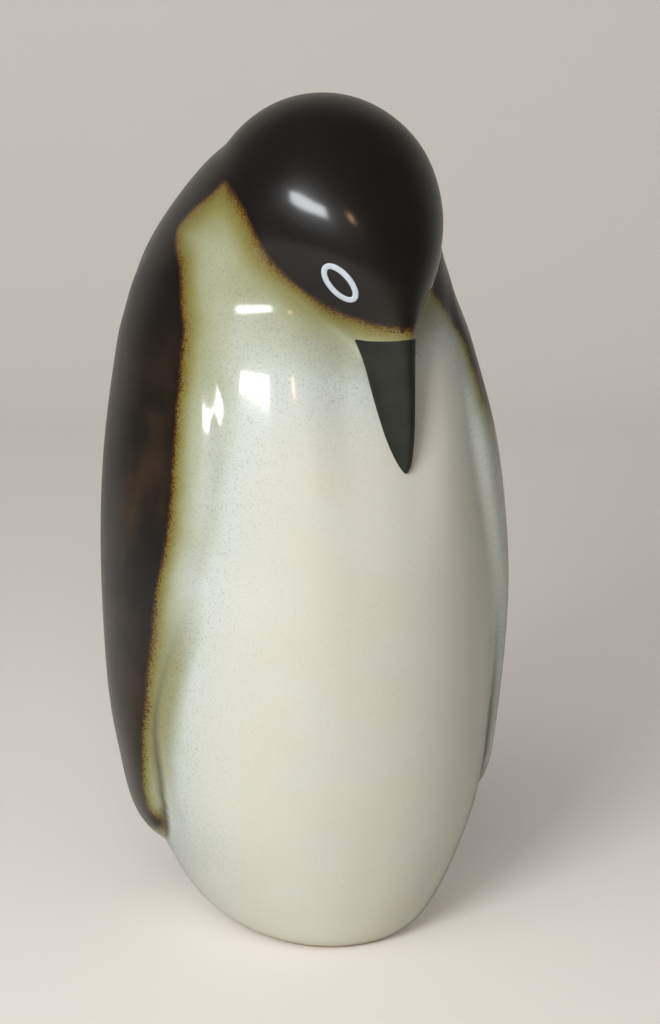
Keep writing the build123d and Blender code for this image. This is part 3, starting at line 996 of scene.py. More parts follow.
@dataclass
class GlazedBody:
    """The hollow body, head and flippers, made as one smooth skin and cut at the luted seams."""

    trunk: Trunk
    flipper: Flipper
    head: Head
    bill: Bill
    rays: RayFan
    border: DarkBorder
    wall: float = 7.0
    foot_ring: float = 11.0
    # Where the foot ring's own thickness starts to give way to the wall's, and over how much
    foot_depth: tuple[float, float] = (5.0, 9.0)
    leaf_clearance: float = 0.25
    ray_length: float = 250.0
    crease_softness: float = 3.5
    crease_width: float = 8.0
    soft_rounds: int = 8
    least_weight: float = 0.06
    # A height or a line, and over how much the glaze's softening changes there: at the foot, up the
    # flipper's edge, and at the nape, where the crease stays finer
    foot_free: tuple[float, float] = (4.0, 30.0)
    edge_rows: tuple[float, float] = (80.0, 90.0)
    edge_least: float = 0.15
    edge_peak: float = 1.1
    edge_reach: float = 9.0
    nape_rows: tuple[float, float] = (325.0, 20.0)
    nape_lines: tuple[float, float] = (50.0, 30.0)
    fine_crease: float = 0.3
    # How much fuller the breast is beside the bill, at what height, and its reach down and up
    chest_fullness: float = 5.0
    chest_height: float = 279.0
    chest_down: float = 58.0
    chest_up: float = 30.0
    chest_lines: tuple[float, float] = (20.0, 40.0)
    bill_side: float = 8.0
    bill_free: float = 24.0
    # The least part of an edge that a cut leaves
    least_part: float = 0.02
    trunk_seam_forward: float = 3.8
    head_seam_forward: float = 67.8
    head_seam_height: float = 285.0
    head_seam_slope: float = 39.5

    def skin_tree(self) -> bpy.types.NodeTree:
        """The tree that takes the rays out to the trunk and the head and softens the crease."""
        bench, given = shape_tree("glazed_skin", [
            ("Head Form", "NodeSocketObject"), ("Ray Length", "NodeSocketFloat"),
            ("Crease Softness", "NodeSocketFloat"), ("Crease Width", "NodeSocketFloat"),
            ("Soft Rounds", "NodeSocketInt"), ("Least Weight", "NodeSocketFloat"),
            ("Material", "NodeSocketMaterial")])
        start = bench.read("ray_start", "FLOAT_VECTOR")
        way = bench.read("ray_way", "FLOAT_VECTOR")
        trunk_reach = bench.read("trunk_reach", "FLOAT")
        soften = bench.read("soften", "FLOAT")
        share = bench.read("crease_share", "FLOAT")
        far = bench.vector("ADD", start, bench.vector("SCALE", way, given.outputs["Ray Length"]))
        form = bench.add("GeometryNodeObjectInfo", {"Object": given.outputs["Head Form"]})
        hit = bench.add("GeometryNodeRaycast", {
            "Target Geometry": form.outputs["Geometry"], "Source Position": far,
            "Ray Direction": bench.vector("SCALE", way, -1.0),
            "Ray Length": given.outputs["Ray Length"]})
        depth = bench.sum("SUBTRACT", given.outputs["Ray Length"], hit.outputs["Hit Distance"])
        head_reach = bench.product(depth, hit.outputs["Is Hit"])
        side = bench.sum("SUBTRACT", head_reach, trunk_reach)
        softness = bench.product(given.outputs["Crease Softness"], share)
        outer = bench.sum("SMOOTH_MAX", head_reach, trunk_reach, softness)
        near = bench.sum("DIVIDE", bench.sum("ABSOLUTE", side), given.outputs["Crease Width"])
        close = bench.product(bench.sum("SUBTRACT", 1.0, near), share)
        mask = bench.sum("MAXIMUM", close, soften)
        weight = bench.sum("MAXIMUM", mask, given.outputs["Least Weight"])
        weight = bench.product(weight, bench.read("free", "FLOAT"))
        blur = bench.add("GeometryNodeBlurAttribute", {
            "Value": outer, "Iterations": given.outputs["Soft Rounds"],
            "Weight": weight}, data_type="FLOAT")
        place = bench.vector("ADD", start, bench.vector("SCALE", way, blur.outputs[0]))
        moved = bench.add("GeometryNodeSetPosition", {
            "Geometry": given.outputs["Geometry"], "Position": place})
        close_tree(bench, moved.outputs[0], given.outputs["Material"])
        return bench.tree

    def skin(
            self, form: bpy.types.Object,
            material: bpy.types.Material) -> tuple[bpy.types.Object, dict]:
        """Make the whole skin and measure it.

        Args:
            form: The head's form.
            material: The glaze.

        Returns:
            The skin's object, and its measures by name, in millimetres.
        """
        start, way, rows = self.rays.cast(self.trunk)
        bare = self.trunk.reach(start, way, np.zeros(len(start)))
        under = start + way * bare[:, None]
        leaf, proud, across = self.flipper.lie(self.trunk, under)
        beside = np.abs(under[:, 0] - self.bill_side) - self.bill_free / 2
        front = self.change(-under[:, 1], self.chest_lines) * smooth_step(beside / self.bill_free)
        rise = under[:, 2] - self.chest_height
        spread = np.where(rise < 0, self.chest_down, self.chest_up)
        proud += self.chest_fullness * front * np.exp(-(rise / spread) ** 2)
        reach = self.trunk.reach(start, way, proud)
        points = start + way * reach[:, None]
        faces = tube_faces(rows, self.rays.columns)
        faces += fan(len(points) - 1, (rows - 1) * self.rays.columns, self.rays.columns, True)
        skin = mesh_object("glazed_skin", points * MM, faces)
        put_attribute(skin.data, "ray_start", start * MM)
        put_attribute(skin.data, "ray_way", way)
        put_attribute(skin.data, "trunk_reach", reach * MM)
        low = self.edge_least + (1 - self.edge_least) * self.change(under[:, 2], self.edge_rows)
        near = np.clip(self.edge_peak - np.abs(leaf) / self.edge_reach, 0, 1)
        put_attribute(skin.data, "soften", near * low)
        put_attribute(skin.data, "free", self.change(under[:, 2], self.foot_free))
        line, width = self.nape_lines
        fine = self.change(under[:, 2], self.nape_rows) * smooth_step((line + under[:, 1]) / width)
        put_attribute(skin.data, "crease_share", 1 - (1 - self.fine_crease) * fine)
        mesh = grow(skin, self.skin_tree(), {
            "Head Form": form, "Ray Length": self.ray_length * MM,
            "Crease Softness": self.crease_softness * MM,
            "Crease Width": self.crease_width * MM, "Soft Rounds": self.soft_rounds,
            "Least Weight": self.least_weight, "Material": material})
        set_outward(mesh)
        return skin, {
            "place": read_vectors(mesh.vertices, "co") / MM,
            "normal": read_vectors(mesh.vertex_normals, "vector"),
            "under": under, "leaf": leaf, "across": across}

    @staticmethod
    def change(value: np.ndarray, rows: tuple[float, float]) -> np.ndarray:
        """An S-shaped rise that starts at the first number and takes as long as the second one."""
        return smooth_step((value - rows[0]) / rows[1])

    def cut(self, work: bmesh.types.BMesh, layer: Any) -> None:
        """Cut a mesh along the line where a measure is 0.

        Args:
            work: The mesh.
            layer: The measure's layer.
        """
        # A dictionary keeps the order of the edges, so each run gives the same faces
        marks: dict[bmesh.types.BMVert, None] = {}
        for edge in list(work.edges):
            first, last = edge.verts
            low, high = first[layer], last[layer]
            if (low > 0) != (high > 0):
                part = min(1 - self.least_part, max(self.least_part, low / (low - high)))
                _, point = bmesh.utils.edge_split(edge, first, part)
                point[layer] = 0.0
                marks[point] = None
        for face in dict.fromkeys(face for point in marks for face in point.link_faces):
            pair = [point for point in face.verts if point in marks]
            if len(pair) == 2:
                bmesh.utils.face_split(face, pair[0], pair[1])

    def pieces(self, skin: bpy.types.Object, facts: dict) -> dict[Wall, bpy.types.Object]:
        """Cut the skin at its seams and round its flippers, and close each piece.

        Args:
            skin: The whole skin.
            facts: Its measures.

        Returns:
            The pieces.
        """
        slope = math.radians(self.head_seam_slope)
        place = facts["place"]
        head_cut = -(place[:, 1] + self.head_seam_forward) * math.sin(slope)
        head_cut += (place[:, 2] - self.head_seam_height) * math.cos(slope)
        trunk_cut = -place[:, 1] - self.trunk_seam_forward
        paint = self.border.paint(skin.data, self.head, facts)
        numbers = {"leaf": facts["leaf"], "head_cut": head_cut, "trunk_cut": trunk_cut, **paint}
        for name, values in numbers.items():
            put_attribute(skin.data, name, values)
        put_attribute(skin.data, "under", facts["under"])
        put_attribute(skin.data, "smooth_way", facts["normal"])
        work = bmesh.new()
        work.from_mesh(skin.data)
        for name in ("leaf", "head_cut", "trunk_cut"):
            self.cut(work, work.verts.layers.float[name])
        work.verts.ensure_lookup_table()
        work.verts.index_update()
        layers = {name: work.verts.layers.float[name] for name in numbers}
        table = {
            name: np.array([point[layer] for point in work.verts])
            for name, layer in layers.items()}
        for name in ("under", "smooth_way"):
            layer = work.verts.layers.float_vector[name]
            table[name] = np.array([point[layer][:] for point in work.verts])
        table["place"] = np.array([point.co[:] for point in work.verts]) / MM
        table["smooth_way"] /= np.linalg.norm(table["smooth_way"], axis=1)[:, None]
        # Painted shade: a dark line along the crease at the flipper's edge
        table["edge_crease_shade"] = self.border.crease(table["leaf"], table["place"][:, 2])
        sorted_faces: dict[Wall, list] = {wall: [] for wall in Wall}
        for face in work.faces:
            corner = [point.index for point in face.verts]
            if table["leaf"][corner].mean() > 0:
                left = table["place"][corner, 0].mean() > 0
                sorted_faces[Wall.FLIPPER_LEFT if left else Wall.FLIPPER_RIGHT].append(corner)
            if table["head_cut"][corner].mean() > 0:
                sorted_faces[Wall.HEAD].append(corner)
            elif table["trunk_cut"][corner].mean() > 0:
                sorted_faces[Wall.BREAST].append(corner)
            else:
                sorted_faces[Wall.BACK].append(corner)
        work.free()
        return {wall: self.close(wall, faces, table) for wall, faces in sorted_faces.items()}

    def close(self, wall: Wall, faces: list, table: dict[str, np.ndarray]) -> bpy.types.Object:
        """Give one piece of the skin its inner side and rims.

        Args:
            wall: Which piece it is.
            faces: Its outer faces.
            table: The measures of the whole skin's points.

        Returns:
            The closed piece with its painted measures.
        """
        used = np.unique(np.concatenate([np.array(face) for face in faces]))
        number = {int(old): new for new, old in enumerate(used)}
        faces = [[number[point] for point in face] for face in faces]
        part = {name: values[used] for name, values in table.items()}
        is_leaf = wall in (Wall.FLIPPER_LEFT, Wall.FLIPPER_RIGHT)
        outer, ways = part["place"].copy(), part["smooth_way"]
        level = ways * [1, 1, 0]
        level = level / np.maximum(np.linalg.norm(level, axis=1), 1e-6)[:, None]
        if is_leaf:
            inner = part["under"] + level * self.leaf_clearance
        else:
            hidden = part["leaf"] > 1e-6
            outer[hidden] = part["under"][hidden]
            low = 1 - self.change(outer[:, 2], self.foot_depth)[:, None]
            inner = outer - level * self.foot_ring * low - ways * self.wall * (1 - low)
        edges = dict.fromkeys(pair for face in faces for pair in zip(face, face[1:] + face[:1]))
        rim = [(first, last) for first, last in edges if (last, first) not in edges]
        count = len(outer)
        inside = np.arange(count) + count
        if is_leaf:
            for first, last in rim:
                inside[first], inside[last] = first, last
        points = np.concatenate([outer, inner])
        made = list(faces)
        flags = [0] * len(faces)
        for face in faces:
            turned = [int(inside[point]) for point in reversed(face)]
            if len(set(turned) - set(face)) > 0:
                made.append(turned)
                flags.append(1)
        if not is_leaf:
            for first, last in rim:
                made.append([last, first, int(inside[first]), int(inside[last])])
                flags.append(2)
        thing = mesh_object(wall.value, points * MM, made)
        mesh = thing.data
        for name in ("edge_distance", "edge_spread", "edge_band_and_shade", "edge_crease_shade"):
            put_attribute(mesh, name, np.concatenate([part[name], part[name]]))
        self.smooth(mesh, ways, flags, count)
        work = bmesh.new()
        work.from_mesh(mesh)
        loose = [point for point in work.verts if not point.link_faces]
        bmesh.ops.delete(work, geom=loose, context="VERTS")
        work.to_mesh(mesh)
        work.free()
        return thing

    def smooth(self, mesh: bpy.types.Mesh, ways: np.ndarray, flags: list[int], count: int) -> None:
        """Shade a piece as the whole skin was, so that no seam shows.

        Args:
            mesh: The piece.
            ways: The whole skin's outward directions at the outer points.
            flags: For each face 0 outside, 1 inside and 2 on a rim.
            count: The number of outer points.
        """
        flat = read_vectors(mesh.polygons, "normal")
        corners = read_numbers(mesh.loops, "vertex_index")
        sizes = read_numbers(mesh.polygons, "loop_total")
        owner = np.repeat(np.arange(len(sizes)), sizes)
        kind = np.array(flags)[owner]
        both = np.concatenate([ways, -ways])
        directions = both[corners]
        directions[kind == 1] = -both[corners[kind == 1] % count]
        directions[kind == 2] = flat[owner[kind == 2]]
        mesh.normals_split_custom_set([tuple(row) for row in directions.tolist()])


@dataclass(frozen=True)
class EyeRing:
    """A thin oval of pale slip trailed on the head, in millimetres."""

    forward: float = 72.3
    left_forward: float = 64.0
    drop: float = 20.2
    half_length: float = 10.9
    half_width: float = 6.1
    stroke: float = 2.75
    proud: float = 0.4
    lean: float = 51.0
    steps: int = 128
    section_steps: int = 20
    cast_from: float = 150.0
    cast_reach: float = 30.0
    cast_length: float = 100.0

    def tree(self) -> bpy.types.NodeTree:
        """The tree that sweeps a domed section round an oval and lays it on the head."""
        bench, given = shape_tree("eye_ring", [
            ("Head Form", "NodeSocketObject"), ("Half Length", "NodeSocketFloat"),
            ("Half Width", "NodeSocketFloat"), ("Half Stroke", "NodeSocketFloat"),
            ("Proud", "NodeSocketFloat"), ("Reach", "NodeSocketFloat"),
            ("Centre", "NodeSocketVector"), ("Long Way", "NodeSocketVector"),
            ("Wide Way", "NodeSocketVector"), ("Face Way", "NodeSocketVector"),
            ("Material", "NodeSocketMaterial")])
        value = given.outputs
        circle = bench.add(
            "GeometryNodeCurvePrimitiveCircle", {"Resolution": self.steps, "Radius": 1.0})
        size = bench.add("ShaderNodeCombineXYZ", {
            "X": value["Half Length"], "Y": value["Half Width"], "Z": 1.0})
        oval = bench.add(
            "GeometryNodeTransform", {"Geometry": circle.outputs[0], "Scale": size.outputs[0]})
        upright = bench.add("GeometryNodeSetCurveNormal", {"Curve": oval.outputs[0]}, mode="Z_UP")
        ring = bench.add(
            "GeometryNodeCurvePrimitiveCircle", {"Resolution": self.section_steps, "Radius": 1.0})
        flat = bench.add(
            "ShaderNodeCombineXYZ", {"X": value["Half Stroke"], "Y": value["Proud"], "Z": 1.0})
        section = bench.add(
            "GeometryNodeTransform", {"Geometry": ring.outputs[0], "Scale": flat.outputs[0]})
        sweep = bench.add("GeometryNodeCurveToMesh", {
            "Curve": upright.outputs[0], "Profile Curve": section.outputs[0]})
        spot = bench.add(
            "ShaderNodeSeparateXYZ", {0: bench.add("GeometryNodeInputPosition").outputs[0]})
        base = bench.vector(
            "ADD", value["Centre"], bench.vector("SCALE", value["Long Way"], spot.outputs[0]))
        base = bench.vector("ADD", base, bench.vector("SCALE", value["Wide Way"], spot.outputs[1]))
        above = bench.vector("ADD", base, bench.vector("SCALE", value["Face Way"], value["Reach"]))
        form = bench.add("GeometryNodeObjectInfo", {"Object": value["Head Form"]})
        hit = bench.add("GeometryNodeRaycast", {
            "Target Geometry": form.outputs["Geometry"], "Source Position": above,
            "Ray Direction": bench.vector("SCALE", value["Face Way"], -1.0),
            "Ray Length": self.cast_length * MM})
        rise = bench.vector("SCALE", value["Face Way"], spot.outputs[2])
        place = bench.vector("ADD", hit.outputs["Hit Position"], rise)
        laid = bench.add(
            "GeometryNodeSetPosition", {"Geometry": sweep.outputs[0], "Position": place})
        close_tree(bench, laid.outputs[0], value["Material"])
        return bench.tree

    def build(
            self, name: str, side: float, head: Head, skin: bpy.types.Object,
            material: bpy.types.Material) -> bpy.types.Object:
        """Lay one ring on the head.

        Args:
            name: The piece's name.
            side: 1 for the left eye and -1 for the right one.
            head: The head that carries it.
            skin: The skin to lie on.
            material: The slip.

        Returns:
            The ring.
        """
        surface = BVHTree.FromObject(skin, bpy.context.evaluated_depsgraph_get())
        forward = self.forward if side < 0 else self.left_forward
        spot = np.array([[side * self.cast_from, -forward, head.height - self.drop]])
        start = Vector(head.placed(spot)[0]) * MM
        centre, normal, _, _ = surface.ray_cast(start, head.way((-side, 0, 0)))
        up = Vector((0, 0, 1))
        billward = up.cross(normal).normalized() * -side
        rise = (up - normal * up.dot(normal)).normalized()
        lean = math.radians(self.lean)
        along = billward * math.cos(lean) - rise * math.sin(lean)
        wide = normal.cross(along).normalized()
        ring = mesh_object(name, np.zeros((1, 3)), [])
        grow(ring, self.tree(), {
            "Head Form": skin, "Half Length": (self.half_length - self.stroke / 2) * MM,
            "Half Width": (self.half_width - self.stroke / 2) * MM,
            "Half Stroke": self.stroke / 2 * MM, "Proud": self.proud * MM,
            "Reach": self.cast_reach * MM, "Centre": centre[:], "Long Way": along[:],
            "Wide Way": wide[:], "Face Way": normal[:], "Material": material})
        set_outward(ring.data)
        return ring


def effect_group(name: str, inputs: Sequence[tuple[str, float]], outputs: Sequence[str]) -> tuple:
    """Start a shader node group with named inputs and outputs.

    Args:
        name: The group's name.
        inputs: Name and default of each number that goes in.
        outputs: Name of each number that comes out.

    Returns:
        The bench to fill it with, its input node's outputs and its output node's inputs.
    """
    tree = bpy.data.node_groups.new(name, "ShaderNodeTree")
    for label, value in inputs:
        socket = tree.interface.new_socket(label, in_out="INPUT", socket_type="NodeSocketFloat")
        socket.default_value = value
    for label in outputs:
        tree.interface.new_socket(label, in_out="OUTPUT", socket_type="NodeSocketFloat")
    bench = NodeBench(tree)
    return bench, bench.add("NodeGroupInput").outputs, bench.add("NodeGroupOutput").inputs


class Effects:
    """The shader groups that several finishes share, each built once."""

    # Scales of the noise that moves the glaze's border, and of the one that breaks it into grains
    drift_scale: float = 42.0
    grain_scale: float = 980.0
    grain_roughness: float = 0.65
    # The border's movement grows to its full size between these distances, in millimetres
    edge_reach: tuple[float, float] = (-3.0, 1.0)
    # The place from which the second band (spray and painted shade) is at its full strength
    band_start: float = 0.1
    cloud_roughness: float = 0.6
    # Clouds and spots appear between these levels of their noise
    cloud_levels: tuple[float, float] = (0.42, 0.68)
    spot_levels: tuple[float, float] = (0.62, 0.74)

    def __init__(self) -> None:
        """Build the groups."""
        self.spray = self.make_spray()
        self.mottle = self.make_mottle()
        self.ripple = self.make_ripple()

    def make_spray(self) -> bpy.types.NodeTree:
        """Sprayed glaze: where a point lies between dark and light, broken up by droplets."""
        bench, given, result = effect_group(
            "glaze_spray", [
                ("Distance", 0.0), ("Spread", 10.0), ("Band", 0.0), ("Band Place", 0.16),
                ("Drift", 3.0), ("Grain", 4.0)],
            ["Place", "Speckle"])
        slow = bench.noise(self.drift_scale, 3.0)
        fine = bench.noise(self.grain_scale, 2.0, self.grain_roughness)
        drift = bench.product(bench.sum("SUBTRACT", slow, 0.5), given["Drift"])
        grain = bench.product(bench.sum("SUBTRACT", fine, 0.5), given["Grain"])
        near_edge = bench.carry(given["Distance"], *self.edge_reach)
        moved = bench.product(bench.sum("ADD", drift, grain), near_edge)
        place = bench.sum("DIVIDE", bench.sum("ADD", moved, given["Distance"]), given["Spread"])
        # Pull towards olive for the second band: spray low down, painted valley shade higher up
        pull = bench.sum("SUBTRACT", given["Band Place"], place)
        band = bench.product(pull, given["Band"], bench.carry(place, 0.0, self.band_start))
        bench.link(bench.sum("ADD", place, band), result["Place"])
        bench.link(fine, result["Speckle"])
        return bench.tree

    def make_mottle(self) -> bpy.types.NodeTree:
        """Cloudy patches and small spots in a glaze."""
        bench, given, result = effect_group(
            "glaze_mottle", [("Cloud Scale", 14.0), ("Spot Scale", 260.0)], ["Cloud", "Spots"])
        cloud = bench.noise(given["Cloud Scale"], 5.0, self.cloud_roughness)
        bench.link(bench.carry(cloud, *self.cloud_levels), result["Cloud"])
        spots = bench.noise(given["Spot Scale"], 2.0)
        bench.link(bench.carry(spots, *self.spot_levels), result["Spots"])
        return bench.tree

    def make_ripple(self) -> bpy.types.NodeTree:
        """The faint waviness and pitting of a fired surface, as a height."""
        bench, given, result = effect_group(
            "fired_ripple",
            [("Wave Scale", 55.0), ("Pit Scale", 900.0), ("Wave", 0.1), ("Pit", 0.02)],
            ["Height"])
        wave = bench.product(bench.noise(given["Wave Scale"], 2.0), given["Wave"])
        pit = bench.product(bench.noise(given["Pit Scale"], 2.0), given["Pit"])
        bench.link(bench.sum("ADD", wave, pit), result["Height"])
        return bench.tree


def new_material(name: str) -> tuple[bpy.types.Material, NodeBench, bpy.types.Node]:
    """Start a material.

    Args:
        name: The material's name.

    Returns:
        The material, a bench on its tree and its Principled BSDF.
    """
    material = bpy.data.materials.new(name)
    material.use_nodes = True
    bench = NodeBench(material.node_tree)
    return material, bench, material.node_tree.nodes["Principled BSDF"]


def coat(piece: bpy.types.Object, material: bpy.types.Material) -> None:
    """Give an object one material."""
    piece.data.materials.clear()
    piece.data.materials.append(material)


@dataclass(frozen=True)
class Ripple:
    """How wavy and pitted a fired surface is."""

    wave_scale: float
    pit_scale: float
    wave: float
    pit: float
    strength: float
    distance: float

    def lay(self, bench: NodeBench, shader: bpy.types.Node, effects: Effects) -> None:
        """Ripple the surface of a material."""
        ripple = bench.group(effects.ripple, {
            "Wave Scale": self.wave_scale, "Pit Scale": self.pit_scale, "Wave": self.wave,
            "Pit": self.pit})
        bump = bench.add("ShaderNodeBump", {
            "Strength": self.strength, "Distance": self.distance,
            "Height": ripple.outputs["Height"]})
        bench.link(bump.outputs[0], shader.inputs["Normal"])


@dataclass(frozen=True)
class GlazeFinish:
    """The sprayed glaze that runs from brown-black through olive to cream."""

    dark: Colour = shade(20, 16, 13)
    dark_warm: Colour = shade(60, 44, 27)
    rust: Colour = shade(72, 48, 24)
    amber: Colour = shade(112, 88, 28)
    olive: Colour = shade(120, 108, 50)
    moss: Colour = shade(142, 138, 84)
    sage: Colour = shade(168, 171, 138)
    mist: Colour = shade(212, 218, 211)
    cream: Colour = shade(227, 224, 208)
    cream_deep: Colour = shade(218, 212, 190)
    droplet: Colour = shade(126, 124, 82)
    # Colour of the painted shade line in the crease at the flipper's edge
    crease_shade_colour: Colour = shade(74, 70, 56)
    clay: Colour = shade(190, 168, 142)
    # The first and the last place of the colour ramp, 0 being the border of the dark glaze
    ramp_ends: tuple[float, float] = (-0.2, 1.3)
    drift: float = 5.0
    grain: float = 9.0
    cloud_scale: float = 24.0
    spot_scale: float = 420.0
    # Between these heights in metres the warm clouds fade to this share at the shoulders
    warm_heights: tuple[float, float] = (0.31, 0.26)
    warm_shares: tuple[float, float] = (0.08, 0.8)
    cream_clouds: float = 0.6
    # The noise that starts a droplet, and the droplets' strength, from the spray out to the cream
    drop_levels: tuple[float, float] = (0.46, 0.58)
    drop_softness: float = 0.12
    drop_shares: tuple[float, float] = (0.42, 0.05)
    # The places between which the levels change, where droplets begin, and where the shares change
    drop_range: tuple[float, float] = (0.02, 0.8)
    drop_start: float = 0.08
    drop_fade: tuple[float, float] = (0.3, 1.0)
    # The place where the glaze is fully dark, and those between which the cream gets its clouds
    dark_place: float = -0.08
    cloud_range: tuple[float, float] = (0.6, 0.95)
    # Clay shows below this height in metres, and alone below this share of it
    clay_height: float = 0.0022
    clay_share: float = 0.6
    clay_roughness: float = 0.85
    roughness: tuple[float, float] = (0.16, 0.38)
    specular: float = 0.2
    coat_weight: float = 0.42
    coat_roughness: float = 0.07
    ripple: Ripple = Ripple(40.0, 800.0, 0.30, 0.02, 0.2, 0.0006)

    def ramp(self, bench: NodeBench, place: bpy.types.NodeSocket) -> bpy.types.NodeSocket:
        """The glaze's colour at its place between the dark and the cream."""
        stops = (
            (-0.2, self.dark), (-0.045, self.dark), (-0.012, self.rust), (0.014, self.amber),
            (0.045, self.olive), (0.12, self.moss), (0.22, self.sage), (0.42, self.mist),
            (0.95, self.cream))
        first, last = self.ramp_ends
        ramp = bench.add("ShaderNodeValToRGB", {0: bench.carry(place, first, last)})
        line = ramp.color_ramp
        for index, (at, colour) in enumerate(stops):
            position = (at - first) / (last - first)
            stop = line.elements[index] if index < 2 else line.elements.new(position)
            stop.position = position
            stop.color = colour
        return ramp.outputs[0]

    def droplets(self, bench: NodeBench, place: Any, speckle: Any) -> bpy.types.NodeSocket:
        """How strong the olive droplets are, none in the dark and few in the cream."""
        level = bench.carry(place, *self.drop_range, *self.drop_levels)
        drops = bench.carry(bench.sum("SUBTRACT", speckle, level), 0.0, self.drop_softness)
        sprayed = bench.carry(place, 0.0, self.drop_start)
        share = bench.carry(place, *self.drop_fade, *self.drop_shares)
        return bench.product(drops, sprayed, share)

    def build(self, name: str, effects: Effects) -> bpy.types.Material:
        """Make the material.

        Args:
            name: The material's name.
            effects: The shared shader groups.

        Returns:
            The material.
        """
        material, bench, shader = new_material(name)
        # Band: the second band, olive spray low down and painted valley shade higher up
        spray = bench.group(effects.spray, {
            "Distance": bench.painted("edge_distance"), "Spread": bench.painted("edge_spread"),
            "Band": bench.painted("edge_band_and_shade"), "Drift": self.drift, "Grain": self.grain}).outputs
        place = spray["Place"]
        mottle = bench.group(
            effects.mottle, {"Cloud Scale": self.cloud_scale, "Spot Scale": self.spot_scale})
        cloud = mottle.outputs["Cloud"]
        height = bench.add("ShaderNodeSeparateXYZ", {0: bench.spot()}).outputs[2]
        darkness = bench.carry(place, 0.0, self.dark_place)
        warm = bench.product(
            cloud, darkness, bench.carry(height, *self.warm_heights, *self.warm_shares))
        colour = bench.blend(warm, self.ramp(bench, place), self.dark_warm)
        cloudy = bench.product(cloud, bench.carry(place, *self.cloud_range), self.cream_clouds)
        colour = bench.blend(cloudy, colour, self.cream_deep)
        colour = bench.blend(self.droplets(bench, place, spray["Speckle"]), colour, self.droplet)
        # Painted shade: darkens the glaze along the crease at the flipper's edge
        colour = bench.blend(bench.painted("edge_crease_shade"), colour, self.crease_shade_colour)
        foot = bench.carry(height, self.clay_height, self.clay_height * self.clay_share)
        bench.link(bench.blend(foot, colour, self.clay), shader.inputs["Base Color"])
        rough = bench.carry(darkness, 0.0, 1.0, *self.roughness)
        rough = bench.sum("MAXIMUM", rough, bench.product(foot, self.clay_roughness))
        bench.link(rough, shader.inputs["Roughness"])
        self.ripple.lay(bench, shader, effects)
        shader.inputs["Specular IOR Level"].default_value = self.specular
        shader.inputs["Coat Weight"].default_value = self.coat_weight
        shader.inputs["Coat Roughness"].default_value = self.coat_roughness
        return material


@dataclass(frozen=True)
class CloudedFinish:
    """A finish of one colour with clouds of a second one, over a faint ripple."""

    base: Colour
    clouds: Colour
    cloud_share: float
    cloud_scale: float
    spot_scale: float
    roughness: tuple[float, float]
    ripple: Ripple
    specular: float = 0.5
    spots: Colour = (0.0, 0.0, 0.0, 1.0)
    spot_share: float = 0.0

    def build(self, name: str, effects: Effects) -> bpy.types.Material:
        """Make the material.

        Args:
            name: The material's name.
            effects: The shared shader groups.

        Returns:
            The material.
        """
        material, bench, shader = new_material(name)
        mottle = bench.group(effects.mottle, {
            "Cloud Scale": self.cloud_scale, "Spot Scale": self.spot_scale}).outputs
        colour = bench.blend(
            bench.product(mottle["Cloud"], self.cloud_share), self.base, self.clouds)
        if self.spot_share:
            colour = bench.blend(
                bench.product(mottle["Spots"], self.spot_share), colour, self.spots)
        bench.link(colour, shader.inputs["Base Color"])
        bench.link(
            bench.carry(mottle["Cloud"], 0.0, 1.0, *self.roughness), shader.inputs["Roughness"])
        self.ripple.lay(bench, shader, effects)
        shader.inputs["Specular IOR Level"].default_value = self.specular
        return material


@dataclass(frozen=True)
class BillFinish(CloudedFinish):
    """The matt grey-green slip of the bill."""

    base: Colour = shade(33, 35, 28)
    clouds: Colour = shade(50, 52, 42)
    cloud_share: float = 0.6
    cloud_scale: float = 60.0
    spot_scale: float = 700.0
    roughness: tuple[float, float] = (0.5, 0.62)
    ripple: Ripple = Ripple(160.0, 1500.0, 0.3, 0.3, 0.3, 0.0003)
    specular: float = 0.3


@dataclass(frozen=True)
class SlipFinish(CloudedFinish):
    """The pale blue-white slip of the eye rings."""

    base: Colour = shade(206, 215, 224)
    clouds: Colour = shade(176, 188, 200)
    cloud_share: float = 0.5
    cloud_scale: float = 260.0
    spot_scale: float = 1400.0
    roughness: tuple[float, float] = (0.3, 0.4)
    ripple: Ripple = Ripple(400.0, 2400.0, 0.3, 0.1, 0.2, 0.0003)


@dataclass(frozen=True)
class ClayFinish(CloudedFinish):
    """The bare fired clay of the slab in the foot."""

    base: Colour = shade(196, 176, 150)
    clouds: Colour = shade(168, 138, 106)
    cloud_share: float = 0.7
    cloud_scale: float = 30.0
    spot_scale: float = 900.0
    roughness: tuple[float, float] = (0.8, 0.92)
    ripple: Ripple = Ripple(90.0, 1300.0, 0.3, 0.7, 0.5, 0.0004)
    spots: Colour = shade(92, 66, 44)
    spot_share: float = 0.5


@dataclass(frozen=True)
class Lamp:
    """One soft lamp, in metres and watts."""

    name: str
    place: tuple[float, float, float]
    target: tuple[float, float, float]
    size: tuple[float, float]
    power: float
    colour: tuple[float, float, float]
    mirrored: bool = True

    def build(self) -> None:
        """Hang the lamp and point it."""
        light = bpy.data.lights.new(self.name, "AREA")
        light.shape = "RECTANGLE"
        light.size, light.size_y = self.size
        light.energy = self.power
        light.color = self.colour
        lamp = bpy.data.objects.new(self.name, light)
        lamp.visible_glossy = self.mirrored
        lamp.location = self.place
        lamp.rotation_mode = "QUATERNION"
        lamp.rotation_quaternion = (
            Vector(self.target) - Vector(self.place)).to_track_quat("-Z", "Y")
        bpy.context.scene.collection.objects.link(lamp)


